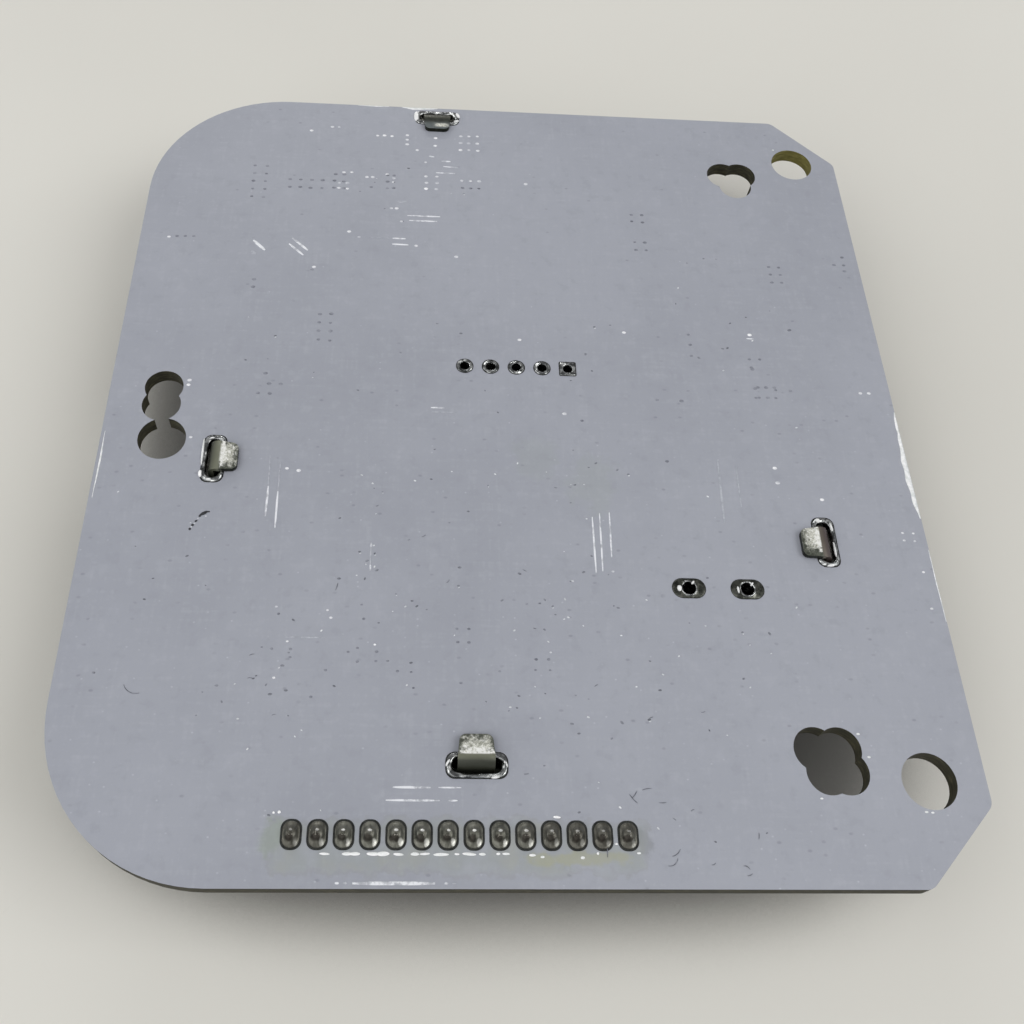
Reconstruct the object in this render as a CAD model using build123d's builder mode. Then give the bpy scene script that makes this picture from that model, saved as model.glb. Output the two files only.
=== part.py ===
from build123d import *
import os

# LED driver module lying on its shield can, with the solder side of the board facing up.
# Millimetres. Origin: middle of the board outline, on the flat face of the can. +X to the right,
# +Y away from the pin header, +Z up out of the solder side.

# ---------------------------------------------------------------- board
board_width = 76.0
board_length = 84.4
board_thick = 1.6
round_corner_r = 14.0
cut_corner = 6.4
cut_corner_round = 1.2

mount_hole_r = 2.3
mount_holes = [(33.2, -33.9), (33.1, 35.6)]

# cut-outs made of overlapping drillings: (x, y, radius)
edge_cutout = [(-33.0, 2.5, 1.8), (-33.0, 0.5, 1.8), (-32.45, -3.25, 2.2)]
upper_clover = [(24.85, 33.45, 1.8), (26.75, 33.5, 1.8), (26.05, 31.85, 1.8)]
lower_clover = [(24.2, -31.4, 1.85), (26.2, -31.4, 1.85), (26.5, -33.25, 1.85), (24.95, -33.25, 1.85)]

# ---------------------------------------------------------------- shield can
can_height = 10.5
sheet = 0.5
can_bend_r = 1.0
can_cut_near = 10.4
can_cut_far = 15.6
slit_width = 0.3
slit_start = 2.2
slit_relief = 0.9
wall_end = 2.0

# lock tabs: middle of the wall where the tab leaves it, direction of the fold, how far the slot's
# middle lies that way, how far the tab stands off it along the wall, and how far it reaches from
# the outside of the wall
left_tab = ((-27.62, -5.25), (1, 0), 0.12, 0.0, 2.6)
right_tab = ((28.45, -12.45), (-1, 0), 0.0, -0.3, 2.65)
near_tab = ((-3.65, -33.0), (0, 1), 0.05, -0.05, 2.68)
far_tab = ((-7.45, 40.6), (0, -1), 0.0, 0.0, 2.45)
tab_width, tab_tip_width = 3.0, 2.65
tab_rise = 0.35
tab_tip_gap = 0.03
tab_bend_r = 0.85
tab_tip_r = 0.55
tab_root = 1.0
slot_length, slot_width, slot_corner_r = 4.0, 1.25, 0.55
rim_length, rim_width, rim_corner_r = 5.05, 2.15, 0.75

# ---------------------------------------------------------------- plated holes
land_height = 0.12

signal_pitch = 2.54
signal_count = 5
signal_row = (0.64, 6.0)
signal_hole_r = 0.5
signal_land_r = 0.86
hole_sides = 16

power_pitch = 5.25
power_row = (17.88, -17.27)
power_hole_r = 0.66
power_land_length, power_land_width = 3.05, 1.92

# ---------------------------------------------------------------- pin header
pin_count = 14
pin_pitch = 2.0
pin_row = (-4.92, -38.3)
pin_width = 0.5
pin_above_board = 0.6
pin_below_board = 6.0
pin_point = 0.12
pin_drill_r = 0.45

joint_length, joint_width, joint_corner = 2.3, 1.65, 0.5
skirt_height = 0.12
fillet_r, fillet_height, fillet_taper = 0.72, 0.35, 35

housing_length = 30.4
housing_width = 5.0
housing_depth = 7.0
housing_floor = 2.0
housing_wall = 0.7
housing_standoff = 0.3
standoff_width = 0.8
key_width = 1.6
key_spacing = 20.0
latch_width = 4.0
latch_height = 1.4
latch_reach = 0.4

# ---------------------------------------------------------------- components inside the can
# place of each: x, y, turn in degrees
inductor_places = [(-4.5, -12.6, 0), (20.5, -6.2, 0), (20.5, 10.0, 0), (-19.4, 31.6, 0)]
inductor_size = (12.4, 12.4, 5.7)
transistor_places = [(8.2, -10.6, 90), (8.2, 14.4, 90), (8.2, 24.2, 90), (19.2, -22.8, 0)]
transistor_size = (6.5, 6.1, 2.3)
diode_places = [(-8.0, 36.4, 0), (0.5, 36.4, 0), (19.6, 20.4, 0), (-9.6, 27.0, 90)]
diode_size = (4.5, 3.6, 2.2)
capacitor_places = [(-21.4, -26.2, 0), (-11.9, -26.2, 0), (-2.4, -26.2, 0), (-21.4, 18.8, 90)]
capacitor_size = 8.3
capacitor_r = 4.0
capacitor_height = 9.2
capacitor_base_height = 1.2
driver_places = [(-2.0, 14.2, 0), (-2.0, 24.2, 0)]
driver_size = (6.5, 4.4, 1.0)
driver_leads = 20
microcontroller_place = (-17.6, 5.6, 0)
microcontroller_size = (7.0, 7.0, 1.4)
microcontroller_leads = 32
transceiver_place = (-7.2, -1.2, 0)
transceiver_size = (4.9, 3.9, 1.5)
crystal_place = (-18.6, -2.4, 0)
crystal_size = (5.0, 3.2, 0.9)
choke_place = (-19.8, -12.4, 90)
choke_size = (9.0, 7.0, 2.4)
suppressor_place = (8.4, -26.4, 90)
suppressor_size = (6.9, 5.9, 2.3)
ceramic_places = [
    (-7.6, -20.4, 0), (-2.0, -20.4, 0), (8.0, -2.2, 90), (12.2, -2.2, 90),
    (10.4, 32.0, 0), (4.6, 30.4, 0), (-11.6, 20.6, 90), (23.6, 22.2, 90),
]
ceramic_size = (3.2, 2.5, 1.9)
shunt_places = [(10.0, 5.4, 0), (-9.6, 32.0, 0), (3.6, 19.2, 0), (25.6, -17.0, 90)]
shunt_size = (5.4, 2.6, 0.6)
chip_places = [(x, y, 0) for x in (-25.2, -22.9) for y in (-3.4, -1.4)]
chip_places += [(x, y, 0) for x in (-13.2, -10.4) for y in (10.4, 12.4, 14.4)]
chip_places += [(x, y, 90) for x in (-6.0, -3.4, -0.8, 1.8) for y in (9.2, 28.8)]
chip_size = (1.6, 0.8, 0.5)

end_cap = 0.3
clip_sheet = 0.2
lead_sheet = 0.15

# ---------------------------------------------------------------- heights and rows that follow
board_under = can_height
board_top = board_under + board_thick
on_board = Plane.XY.offset(board_top)
under_board = Plane.XY.offset(board_under)


def row(centre, pitch, count):
    """Places along X, at an even pitch about a centre."""
    return [(centre[0] + pitch * (i - (count - 1) / 2), centre[1]) for i in range(count)]


tabs = [left_tab, right_tab, near_tab, far_tab]
slot_places = [
    Location((x + fold_x * off_wall, y + fold_y * off_wall), 90 if fold_x else 0)
    for (x, y), (fold_x, fold_y), off_wall, _, _ in tabs
]
signal_holes = row(signal_row, signal_pitch, signal_count)
power_holes = row(power_row, power_pitch, 2)
pin_places = row(pin_row, pin_pitch, pin_count)

os.makedirs("parts", exist_ok=True)


def save(part, name):
    """Label a finished piece and write its STEP file."""
    part.label = name
    export_step(part, f"parts/{name}.step")


# ---------------------------------------------------------------- circuit board
with BuildPart() as circuit_board:
    with BuildSketch(under_board) as outline:
        Rectangle(board_width, board_length)
        fillet(outline.vertices().group_by(Axis.X)[0], round_corner_r)
        chamfer(outline.vertices().group_by(Axis.X)[-1], cut_corner)
        right_of_cut = board_width / 2 - cut_corner - cut_corner_round
        fillet(outline.vertices().filter_by(lambda v: v.X > right_of_cut), cut_corner_round)
        with Locations(*mount_holes):
            Circle(mount_hole_r, mode=Mode.SUBTRACT)
        for x, y, r in edge_cutout + upper_clover + lower_clover:
            with Locations((x, y)):
                Circle(r, mode=Mode.SUBTRACT)
        with Locations(*slot_places):
            RectangleRounded(slot_length, slot_width, slot_corner_r, mode=Mode.SUBTRACT)
        with Locations(*signal_holes):
            RegularPolygon(signal_hole_r, hole_sides, mode=Mode.SUBTRACT)
        with Locations(*power_holes):
            RegularPolygon(power_hole_r, hole_sides, mode=Mode.SUBTRACT)
        with Locations(*pin_places):
            RegularPolygon(pin_drill_r, 8, mode=Mode.SUBTRACT)
    extrude(amount=board_thick)
save(circuit_board.part, "circuit_board")


# ---------------------------------------------------------------- tinned rims and lands
with BuildPart() as slot_rims:
    with BuildSketch(on_board):
        with Locations(*slot_places):
            RectangleRounded(rim_length, rim_width, rim_corner_r)
            RectangleRounded(slot_length, slot_width, slot_corner_r, mode=Mode.SUBTRACT)
    extrude(amount=land_height)
save(slot_rims.part, "shield_slot_rims")

with BuildPart() as signal_lands:
    with BuildSketch(on_board):
        with Locations(*signal_holes[:-1]):
            RegularPolygon(signal_land_r, hole_sides)
        with Locations(signal_holes[-1]):
            Rectangle(2 * signal_land_r, 2 * signal_land_r)
        with Locations(*signal_holes):
            RegularPolygon(signal_hole_r, hole_sides, mode=Mode.SUBTRACT)
    extrude(amount=land_height)
save(signal_lands.part, "signal_hole_lands")

with BuildPart() as power_lands:
    with BuildSketch(on_board):
        with Locations(*power_holes):
            SlotOverall(power_land_length, power_land_width)
            RegularPolygon(power_hole_r, hole_sides, mode=Mode.SUBTRACT)
    extrude(amount=land_height)
save(power_lands.part, "power_hole_lands")


# ---------------------------------------------------------------- shield can, folded from one sheet
def lock_tab(wall_middle, fold, along_wall, reach):
    """A tongue of the wall: up through its slot, over, and down to the mask, narrower at the tip."""
    x, y = wall_middle
    fold_x, fold_y = fold
    outer_face = (
        x - fold_x * sheet / 2 + abs(fold_y) * along_wall,
        y - fold_y * sheet / 2 + abs(fold_x) * along_wall,
        board_top,
    )
    across = Plane(outer_face, x_dir=(fold_x, fold_y, 0), z_dir=(fold_y, -fold_x, 0))
    root = -board_thick - tab_root
    with BuildPart() as tab:
        with BuildSketch(across) as profile:
            with BuildLine():
                Polyline(
                    (0, root),
                    (0, tab_rise + sheet),
                    (reach, tab_tip_gap + sheet),
                    (reach, tab_tip_gap),
                    (sheet, tab_rise),
                    (sheet, root),
                    close=True,
                )
            make_face()
            bend = profile.vertices().group_by(Axis.X)[:2]
            fillet(bend[0].sort_by(Axis.Y)[-1], tab_bend_r)
            fillet(bend[1].sort_by(Axis.Y)[-1], tab_bend_r - sheet)
        extrude(amount=tab_width / 2, both=True)
        with BuildSketch(Plane(outer_face, x_dir=(fold_x, fold_y, 0))) as plan:
            with BuildLine():
                Polyline(
                    (0, -tab_width / 2),
                    (tab_bend_r, -tab_width / 2),
                    (reach, -tab_tip_width / 2),
                    (reach, tab_tip_width / 2),
                    (tab_bend_r, tab_width / 2),
                    (0, tab_width / 2),
                    close=True,
                )
            make_face()
            fillet(plan.vertices().group_by(Axis.X)[-1], tab_tip_r)
        extrude(amount=-root, both=True, mode=Mode.INTERSECT)
    return tab.part


can_left = left_tab[0][0] - sheet / 2
can_right = right_tab[0][0] + sheet / 2
can_near = near_tab[0][1] - sheet / 2
can_far = far_tab[0][1] + sheet / 2

# corner of the can, and the direction that halves it
can_corners = [
    ((can_left, can_near), 45),
    ((can_right - can_cut_near, can_near), 112.5),
    ((can_right, can_near + can_cut_near), 157.5),
    ((can_right, can_far - can_cut_far), -157.5),
    ((can_right - can_cut_far, can_far), -112.5),
    ((can_left, can_far), -45),
]

with BuildPart() as shield_can:
    with BuildSketch():
        with BuildLine():
            Polyline(*[corner for corner, _ in can_corners], close=True)
        make_face()
    extrude(amount=can_height)
    fillet(shield_can.edges().group_by(Axis.Z)[0], can_bend_r)
    offset(amount=-sheet, openings=shield_can.faces().sort_by(Axis.Z)[-1])

    # open slits where two walls meet, each with a square relief at its closed end
    for (x, y), angle in can_corners:
        with Locations(Location((x, y, slit_start), (0, 0, angle))):
            Box(
                wall_end,
                slit_width,
                can_height,
                align=(Align.CENTER, Align.CENTER, Align.MIN),
                mode=Mode.SUBTRACT,
            )
            Box(wall_end, slit_relief, slit_relief, mode=Mode.SUBTRACT)

    for wall_middle, fold, _, along_wall, reach in tabs:
        add(lock_tab(wall_middle, fold, along_wall, reach))
save(shield_can.part, "shield_can")


# ---------------------------------------------------------------- pin header
with BuildPart() as header_pins:
    with BuildSketch(Plane.XY.offset(board_under - pin_below_board)):
        with Locations(*pin_places):
            Rectangle(pin_width, pin_width)
    extrude(amount=pin_below_board + board_thick + pin_above_board)
    pin_ends = header_pins.edges().group_by(Axis.Z)
    chamfer(pin_ends[0] + pin_ends[-1], pin_point)
save(header_pins.part, "header_pins")


with BuildPart() as solder_joints:
    # a flat oval skirt on the board, a steep fillet up the pin, and the fill of the drilled hole
    with BuildSketch(on_board):
        with Locations(*pin_places):
            oval = Rectangle(joint_width, joint_length)
            chamfer(oval.vertices(), joint_corner)
    extrude(amount=skirt_height)
    with BuildSketch(on_board.offset(skirt_height)):
        with Locations(*pin_places):
            RegularPolygon(fillet_r, 8)
    extrude(amount=fillet_height, taper=fillet_taper)
    with BuildSketch(under_board):
        with Locations(*pin_places):
            RegularPolygon(pin_drill_r, 8)
    extrude(amount=board_thick)
    with BuildSketch(under_board):
        with Locations(*pin_places):
            Rectangle(pin_width, pin_width)
    extrude(amount=board_thick + skirt_height + fillet_height, mode=Mode.SUBTRACT)
save(solder_joints.part, "header_solder_joints")

with BuildPart() as header_housing:
    top_of_body = board_under - housing_standoff
    with BuildSketch(Plane.XY.offset(board_under - housing_depth)):
        with Locations(pin_row):
            Rectangle(housing_length, housing_width)
    extrude(amount=housing_depth - housing_standoff)
    fillet(header_housing.edges().filter_by(Axis.Z), 0.4)

    # pocket that the plug goes into, open away from the board
    pocket_length = housing_length - 2 * housing_wall
    pocket_width = housing_width - 2 * housing_wall
    with BuildSketch(Plane.XY.offset(board_under - housing_depth)):
        with Locations(pin_row):
            Rectangle(pocket_length, pocket_width)
    extrude(amount=housing_depth - housing_floor, mode=Mode.SUBTRACT)
    chamfer(header_housing.faces().sort_by(Axis.Z)[0].inner_wires().edges(), 0.25)

    # keyways through the wall that faces the board's edge
    key_wall_y = pin_row[1] - housing_width / 2
    with BuildSketch(Plane.XY.offset(board_under - housing_depth)):
        with Locations(*row((pin_row[0], key_wall_y), key_spacing, 2)):
            Rectangle(key_width, 2.5 * housing_wall)
    extrude(amount=housing_depth - housing_floor - 1, mode=Mode.SUBTRACT)

    # latch ramp on the outside of the wall that faces the can
    latch_wall_y = pin_row[1] + housing_width / 2
    with BuildSketch(Plane.YZ.offset(pin_row[0])):
        with BuildLine():
            latch_z = board_under - housing_depth + 1.6
            Polyline(
                (latch_wall_y, latch_z),
                (latch_wall_y + latch_reach, latch_z + latch_height),
                (latch_wall_y, latch_z + latch_height),
                close=True,
            )
        make_face()
    extrude(amount=latch_width / 2, both=True)

    # feet that hold the body off the board, and the holes that the pins are pressed into
    with BuildSketch(Plane.XY.offset(top_of_body)):
        with Locations(pin_row):
            with GridLocations(housing_length - standoff_width, housing_width - standoff_width, 2, 2):
                Rectangle(standoff_width, standoff_width)
    extrude(amount=housing_standoff)
    with BuildSketch(Plane.XY.offset(board_under - housing_depth)):
        with Locations(*pin_places):
            Rectangle(pin_width, pin_width)
    extrude(amount=housing_depth, mode=Mode.SUBTRACT)
save(header_housing.part, "header_housing")


# ---------------------------------------------------------------- shapes shared by the components
def hang(place, drop=0.0):
    """Work plane at a component's place, a given depth below the board and turned with it."""
    x, y, turn = place
    return Plane(Location((x, y, board_under - drop), (0, 0, turn)))


def side_planes(place, sides, reach, pitch, count):
    """Upright planes for leads: local X points out of the body, local Y up to the board."""
    return [
        Plane(
            hang(place).location
            * Location((0, 0, 0), (0, 0, side))
            * Location((reach, pitch * (i - (count - 1) / 2), 0))
            * Location((0, 0, 0), (90, 0, 0))
        )
        for side in sides
        for i in range(count)
    ]


def moulded_body(places, size, drop, bevel):
    """Moulded block with its lower edges bevelled, held a little off the board."""
    length, width, height = size
    with BuildPart() as body:
        for place in places:
            with BuildSketch(hang(place, drop + height)):
                Rectangle(length, width)
            extrude(amount=height)
        chamfer(body.edges().group_by(Axis.Z)[0], bevel)
    return body.part


def gull_leads(planes, width, height, run, foot):
    """Leads that leave a body half way up, step up to the board and end in a flat foot."""
    with BuildPart() as leads:
        with BuildSketch(*planes):
            with BuildLine():
                Polyline(
                    (0, -height),
                    (run - lead_sheet, -height),
                    (run - lead_sheet, 0),
                    (run + foot, 0),
                    (run + foot, -lead_sheet),
                    (run, -lead_sheet),
                    (run, -height - lead_sheet),
                    (0, -height - lead_sheet),
                    close=True,
                )
            make_face()
        extrude(amount=width / 2, both=True)
    return leads.part


def end_clips(planes, width, height, foot):
    """Terminals bent round the ends of a body: a foot under it and an upright against its end."""
    with BuildPart() as clips:
        with BuildSketch(*planes):
            with BuildLine():
                Polyline(
                    (-foot, 0),
                    (clip_sheet, 0),
                    (clip_sheet, -height),
                    (0, -height),
                    (0, -clip_sheet),
                    (-foot, -clip_sheet),
                    close=True,
                )
            make_face()
        extrude(amount=width / 2, both=True)
    return clips.part


def block_parts(places, size):
    """Bodies of leadless parts, and the metal caps on their two ends."""
    length, width, height = size
    body_length = length - 2 * end_cap
    with BuildPart() as bodies:
        for place in places:
            with BuildSketch(hang(place, height)):
                Rectangle(body_length, width)
            extrude(amount=height)
    with BuildPart() as caps:
        for place in places:
            with BuildSketch(hang(place, height)):
                with GridLocations(length - end_cap, 0, 2, 1):
                    Rectangle(end_cap, width)
            extrude(amount=height)
    return bodies.part, caps.part


# ---------------------------------------------------------------- power inductors
core_corner, core_recess_r, core_recess_depth = 2.0, 5.0, 0.6
for number, place in enumerate(inductor_places, 1):
    length, width, height = inductor_size
    with BuildPart() as core:
        with BuildSketch(hang(place, clip_sheet + height)) as core_outline:
            Rectangle(length, width)
            chamfer(core_outline.vertices(), core_corner)
        extrude(amount=height)
        with BuildSketch(hang(place, clip_sheet + height)):
            Circle(core_recess_r)
        extrude(amount=core_recess_depth, mode=Mode.SUBTRACT)
    save(core.part, f"power_inductor_core_{number}")
    ends = side_planes(place, (0, 180), length / 2, 0, 1)
    save(end_clips(ends, 4.0, 2.4, 2.0), f"power_inductor_terminals_{number}")


# ---------------------------------------------------------------- power transistors
drain_plate = (5.4, 6.9, 0.5)
drain_overlap = 5.6
for number, place in enumerate(transistor_places, 1):
    length, width, height = transistor_size
    plate_width, plate_length, plate_thick = drain_plate
    body_end = width / 2
    with BuildPart() as body:
        with BuildSketch(hang(place, height)):
            Rectangle(length, width)
        extrude(amount=height)
        chamfer(body.edges().group_by(Axis.Z)[0], 0.3)
        with BuildSketch(hang(place, plate_thick)):
            with Locations((0, body_end - drain_overlap / 2)):
                Rectangle(plate_width, drain_overlap)
        extrude(amount=plate_thick, mode=Mode.SUBTRACT)
    save(body.part, f"power_transistor_body_{number}")
    with BuildPart() as metal:
        with BuildSketch(hang(place, plate_thick)):
            with Locations((0, body_end - drain_overlap + plate_length / 2)):
                Rectangle(plate_width, plate_length)
        extrude(amount=plate_thick)
        add(gull_leads(side_planes(place, (-90,), width / 2, 4.57, 2), 0.8, 1.0, 1.2, 1.0))
    save(metal.part, f"power_transistor_metal_{number}")


# ---------------------------------------------------------------- diodes and suppressor
diode_ends = [p for place in diode_places for p in side_planes(place, (0, 180), diode_size[0] / 2, 0, 1)]
save(moulded_body(diode_places, diode_size, clip_sheet, 0.4), "rectifier_diode_bodies")
save(end_clips(diode_ends, 2.1, 1.2, 1.1), "rectifier_diode_leads")

suppressor_ends = side_planes(suppressor_place, (0, 180), suppressor_size[0] / 2, 0, 1)
save(moulded_body([suppressor_place], suppressor_size, clip_sheet, 0.4), "suppressor_body")
save(end_clips(suppressor_ends, 3.0, 1.3, 1.3), "suppressor_leads")


# ---------------------------------------------------------------- electrolytic capacitors
groove_depth, groove_place, rim_bevel = 0.35, 1.6, 0.4
for number, place in enumerate(capacitor_places, 1):
    x, y, turn = place
    foot_drop = clip_sheet
    with BuildPart() as base:
        with BuildSketch(hang(place, foot_drop + capacitor_base_height)) as base_outline:
            Rectangle(capacitor_size, capacitor_size)
            chamfer(base_outline.vertices().group_by(Axis.X)[-1], 1.6)
        extrude(amount=capacitor_base_height)
    save(base.part, f"capacitor_base_{number}")

    can_top = foot_drop + capacitor_base_height
    with BuildPart() as can:
        with BuildSketch(Plane(Location((x, y, board_under), (90, 0, 0)))) as can_profile:
            with BuildLine():
                neck_r = capacitor_r - groove_depth
                neck_y = -can_top - groove_place
                Polyline(
                    (0, -can_top),
                    (capacitor_r, -can_top),
                    (capacitor_r, neck_y + groove_depth),
                    (neck_r, neck_y),
                    (capacitor_r, neck_y - groove_depth),
                    (capacitor_r, -capacitor_height),
                    (0, -capacitor_height),
                    close=True,
                )
            make_face()
            chamfer(can_profile.vertices().sort_by(Axis.Y)[:2].sort_by(Axis.X)[-1], rim_bevel)
        revolve(axis=Axis((x, y, 0), (0, 0, 1)))
    save(can.part, f"capacitor_can_{number}")

with BuildPart() as capacitor_feet:
    for place in capacitor_places:
        with BuildSketch(hang(place, clip_sheet)):
            with GridLocations(5.2, 0, 2, 1):
                Rectangle(3.2, 0.8)
        extrude(amount=clip_sheet)
save(capacitor_feet.part, "capacitor_feet")


# ---------------------------------------------------------------- driver circuits
for number, place in enumerate(driver_places, 1):
    length, width, height = driver_size
    save(moulded_body([place], driver_size, 0.1, 0.2), f"led_driver_body_{number}")
    legs = side_planes(place, (90, -90), width / 2, 0.65, driver_leads // 2)
    save(gull_leads(legs, 0.25, 0.5, 0.5, 0.5), f"led_driver_leads_{number}")


# ---------------------------------------------------------------- microcontroller and transceiver
save(moulded_body([microcontroller_place], microcontroller_size, 0.1, 0.2), "microcontroller_body")
half = microcontroller_size[0] / 2
legs = side_planes(microcontroller_place, (0, 90, 180, -90), half, 0.8, microcontroller_leads // 4)
save(gull_leads(legs, 0.35, 0.6, 0.5, 0.5), "microcontroller_leads")

save(moulded_body([transceiver_place], transceiver_size, 0.15, 0.25), "bus_transceiver_body")
legs = side_planes(transceiver_place, (90, -90), transceiver_size[1] / 2, 1.27, 4)
save(gull_leads(legs, 0.4, 0.7, 0.5, 0.6), "bus_transceiver_leads")


# ---------------------------------------------------------------- crystal
crystal_base_height = 0.4
with BuildPart() as crystal_base:
    with BuildSketch(hang(crystal_place, crystal_base_height)):
        Rectangle(crystal_size[0], crystal_size[1])
    extrude(amount=crystal_base_height)
save(crystal_base.part, "crystal_base")

with BuildPart() as crystal_lid:
    with BuildSketch(hang(crystal_place, crystal_base_height + crystal_size[2])):
        Rectangle(crystal_size[0] - 0.5, crystal_size[1] - 0.5)
    extrude(amount=crystal_size[2])
    chamfer(crystal_lid.edges().group_by(Axis.Z)[0], 0.2)
save(crystal_lid.part, "crystal_can")


# ---------------------------------------------------------------- common-mode choke
choke_leg = 1.8
choke_turns = 7
choke_wire = 0.6
choke_base_height = 1.0
choke_core_drop = choke_base_height + choke_wire

with BuildPart() as choke_base:
    with BuildSketch(hang(choke_place, choke_base_height)):
        Rectangle(choke_size[0], choke_size[1])
    extrude(amount=choke_base_height)
save(choke_base.part, "choke_base")

with BuildPart() as choke_core:
    length, width, height = choke_size
    with BuildSketch(hang(choke_place, choke_core_drop + height)):
        RectangleRounded(length, width, 0.8)
        Rectangle(length - 2 * choke_leg, width - 2 * choke_leg, mode=Mode.SUBTRACT)
    extrude(amount=height)
save(choke_core.part, "choke_core")

with BuildPart() as turn:
    with BuildSketch(Plane.YZ) as turn_outline:
        Rectangle(choke_leg + 2 * choke_wire, height + 2 * choke_wire)
        chamfer(turn_outline.vertices(), choke_wire)
        Rectangle(choke_leg, height, mode=Mode.SUBTRACT)
    extrude(amount=choke_wire / 2, both=True)
    chamfer(turn.faces().filter_by(Axis.X).sort_by(Axis.X)[0].outer_wire().edges(), choke_wire * 0.4)
    chamfer(turn.faces().filter_by(Axis.X).sort_by(Axis.X)[-1].outer_wire().edges(), choke_wire * 0.4)

with BuildPart() as choke_windings:
    with Locations(hang(choke_place, choke_core_drop + height / 2)):
        with GridLocations(choke_wire, width - choke_leg, choke_turns, 2):
            add(turn.part)
save(choke_windings.part, "choke_windings")


# ---------------------------------------------------------------- leadless parts
for places, size, name in (
    (ceramic_places, ceramic_size, "ceramic_capacitor"),
    (shunt_places, shunt_size, "shunt_resistor"),
    (chip_places, chip_size, "chip_part"),
):
    bodies, caps = block_parts(places, size)
    save(bodies, f"{name}_bodies")
    save(caps, f"{name}_end_caps")
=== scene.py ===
import math
import random

import bpy
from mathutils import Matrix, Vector, noise


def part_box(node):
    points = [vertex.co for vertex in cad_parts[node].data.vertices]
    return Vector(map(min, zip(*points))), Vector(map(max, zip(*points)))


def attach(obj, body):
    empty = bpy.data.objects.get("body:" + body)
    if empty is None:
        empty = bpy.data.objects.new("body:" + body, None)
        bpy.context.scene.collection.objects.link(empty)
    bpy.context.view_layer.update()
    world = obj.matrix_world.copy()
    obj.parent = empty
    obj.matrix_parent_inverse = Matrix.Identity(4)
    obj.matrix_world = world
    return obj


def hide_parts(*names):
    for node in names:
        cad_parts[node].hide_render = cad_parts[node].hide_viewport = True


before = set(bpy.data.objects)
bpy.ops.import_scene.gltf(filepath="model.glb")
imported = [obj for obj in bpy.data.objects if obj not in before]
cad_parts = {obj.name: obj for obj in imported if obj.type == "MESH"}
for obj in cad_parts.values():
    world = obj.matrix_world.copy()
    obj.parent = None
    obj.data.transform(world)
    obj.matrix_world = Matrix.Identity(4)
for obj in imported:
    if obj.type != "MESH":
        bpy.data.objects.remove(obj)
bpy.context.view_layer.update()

# The module lies on its shield can with the solder side of the board up. Lengths in the lists
# below are millimetres in the frame's own axes, and MM turns them into Blender's metres.
MM = 0.001
board_low, board_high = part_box("circuit_board")
board_mid = (board_low + board_high) / 2
board_top = board_high.z
board_thick = (board_high.z - board_low.z) / MM
edge_x = (board_high.x - board_mid.x) / MM
edge_y = (board_high.y - board_mid.y) / MM

# how deep the pieces that lie on the board reach into it, so that nothing floats
sunk = -0.01

# middle of the mounting hole near the far right corner
far_hole = (33.1, 35.6)


def on_board(x, y, height=0.0):
    """The point x, y millimetres from the middle of the board and that far above its solder side."""
    return Vector((board_mid.x + x * MM, board_mid.y + y * MM, board_top + height * MM))


def lumps(node):
    """(middle, half size) of each separate solid of a CAD node, in millimetres from the board's middle."""
    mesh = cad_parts[node].data
    keys = [tuple(round(c * 1e6) for c in v.co) for v in mesh.vertices]
    leader = {key: key for key in keys}

    def find(key):
        while leader[key] != key:
            leader[key] = leader[leader[key]]
            key = leader[key]
        return key

    for face in mesh.polygons:
        first = find(keys[face.vertices[0]])
        for corner in face.vertices[1:]:
            leader[find(keys[corner])] = first
    groups = {}
    for key, vertex in zip(keys, mesh.vertices):
        groups.setdefault(find(key), []).append(vertex.co)
    origin = Vector((board_mid.x, board_mid.y, board_top))
    boxes = []
    for points in groups.values():
        low = Vector(min(p[axis] for p in points) for axis in range(3))
        high = Vector(max(p[axis] for p in points) for axis in range(3))
        boxes.append((((low + high) / 2 - origin) / MM, (high - low) / 2 / MM))
    return sorted(boxes, key=lambda box: (round(box[0].x, 2), box[0].y))


# ---------------- materials
def srgb(red, green, blue):
    """A linear colour from the eight-bit values that a screen shows."""
    def linear(value):
        value /= 255
        return value / 12.92 if value <= 0.04045 else ((value + 0.055) / 1.055) ** 2.4
    return (linear(red), linear(green), linear(blue), 1.0)


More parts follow.
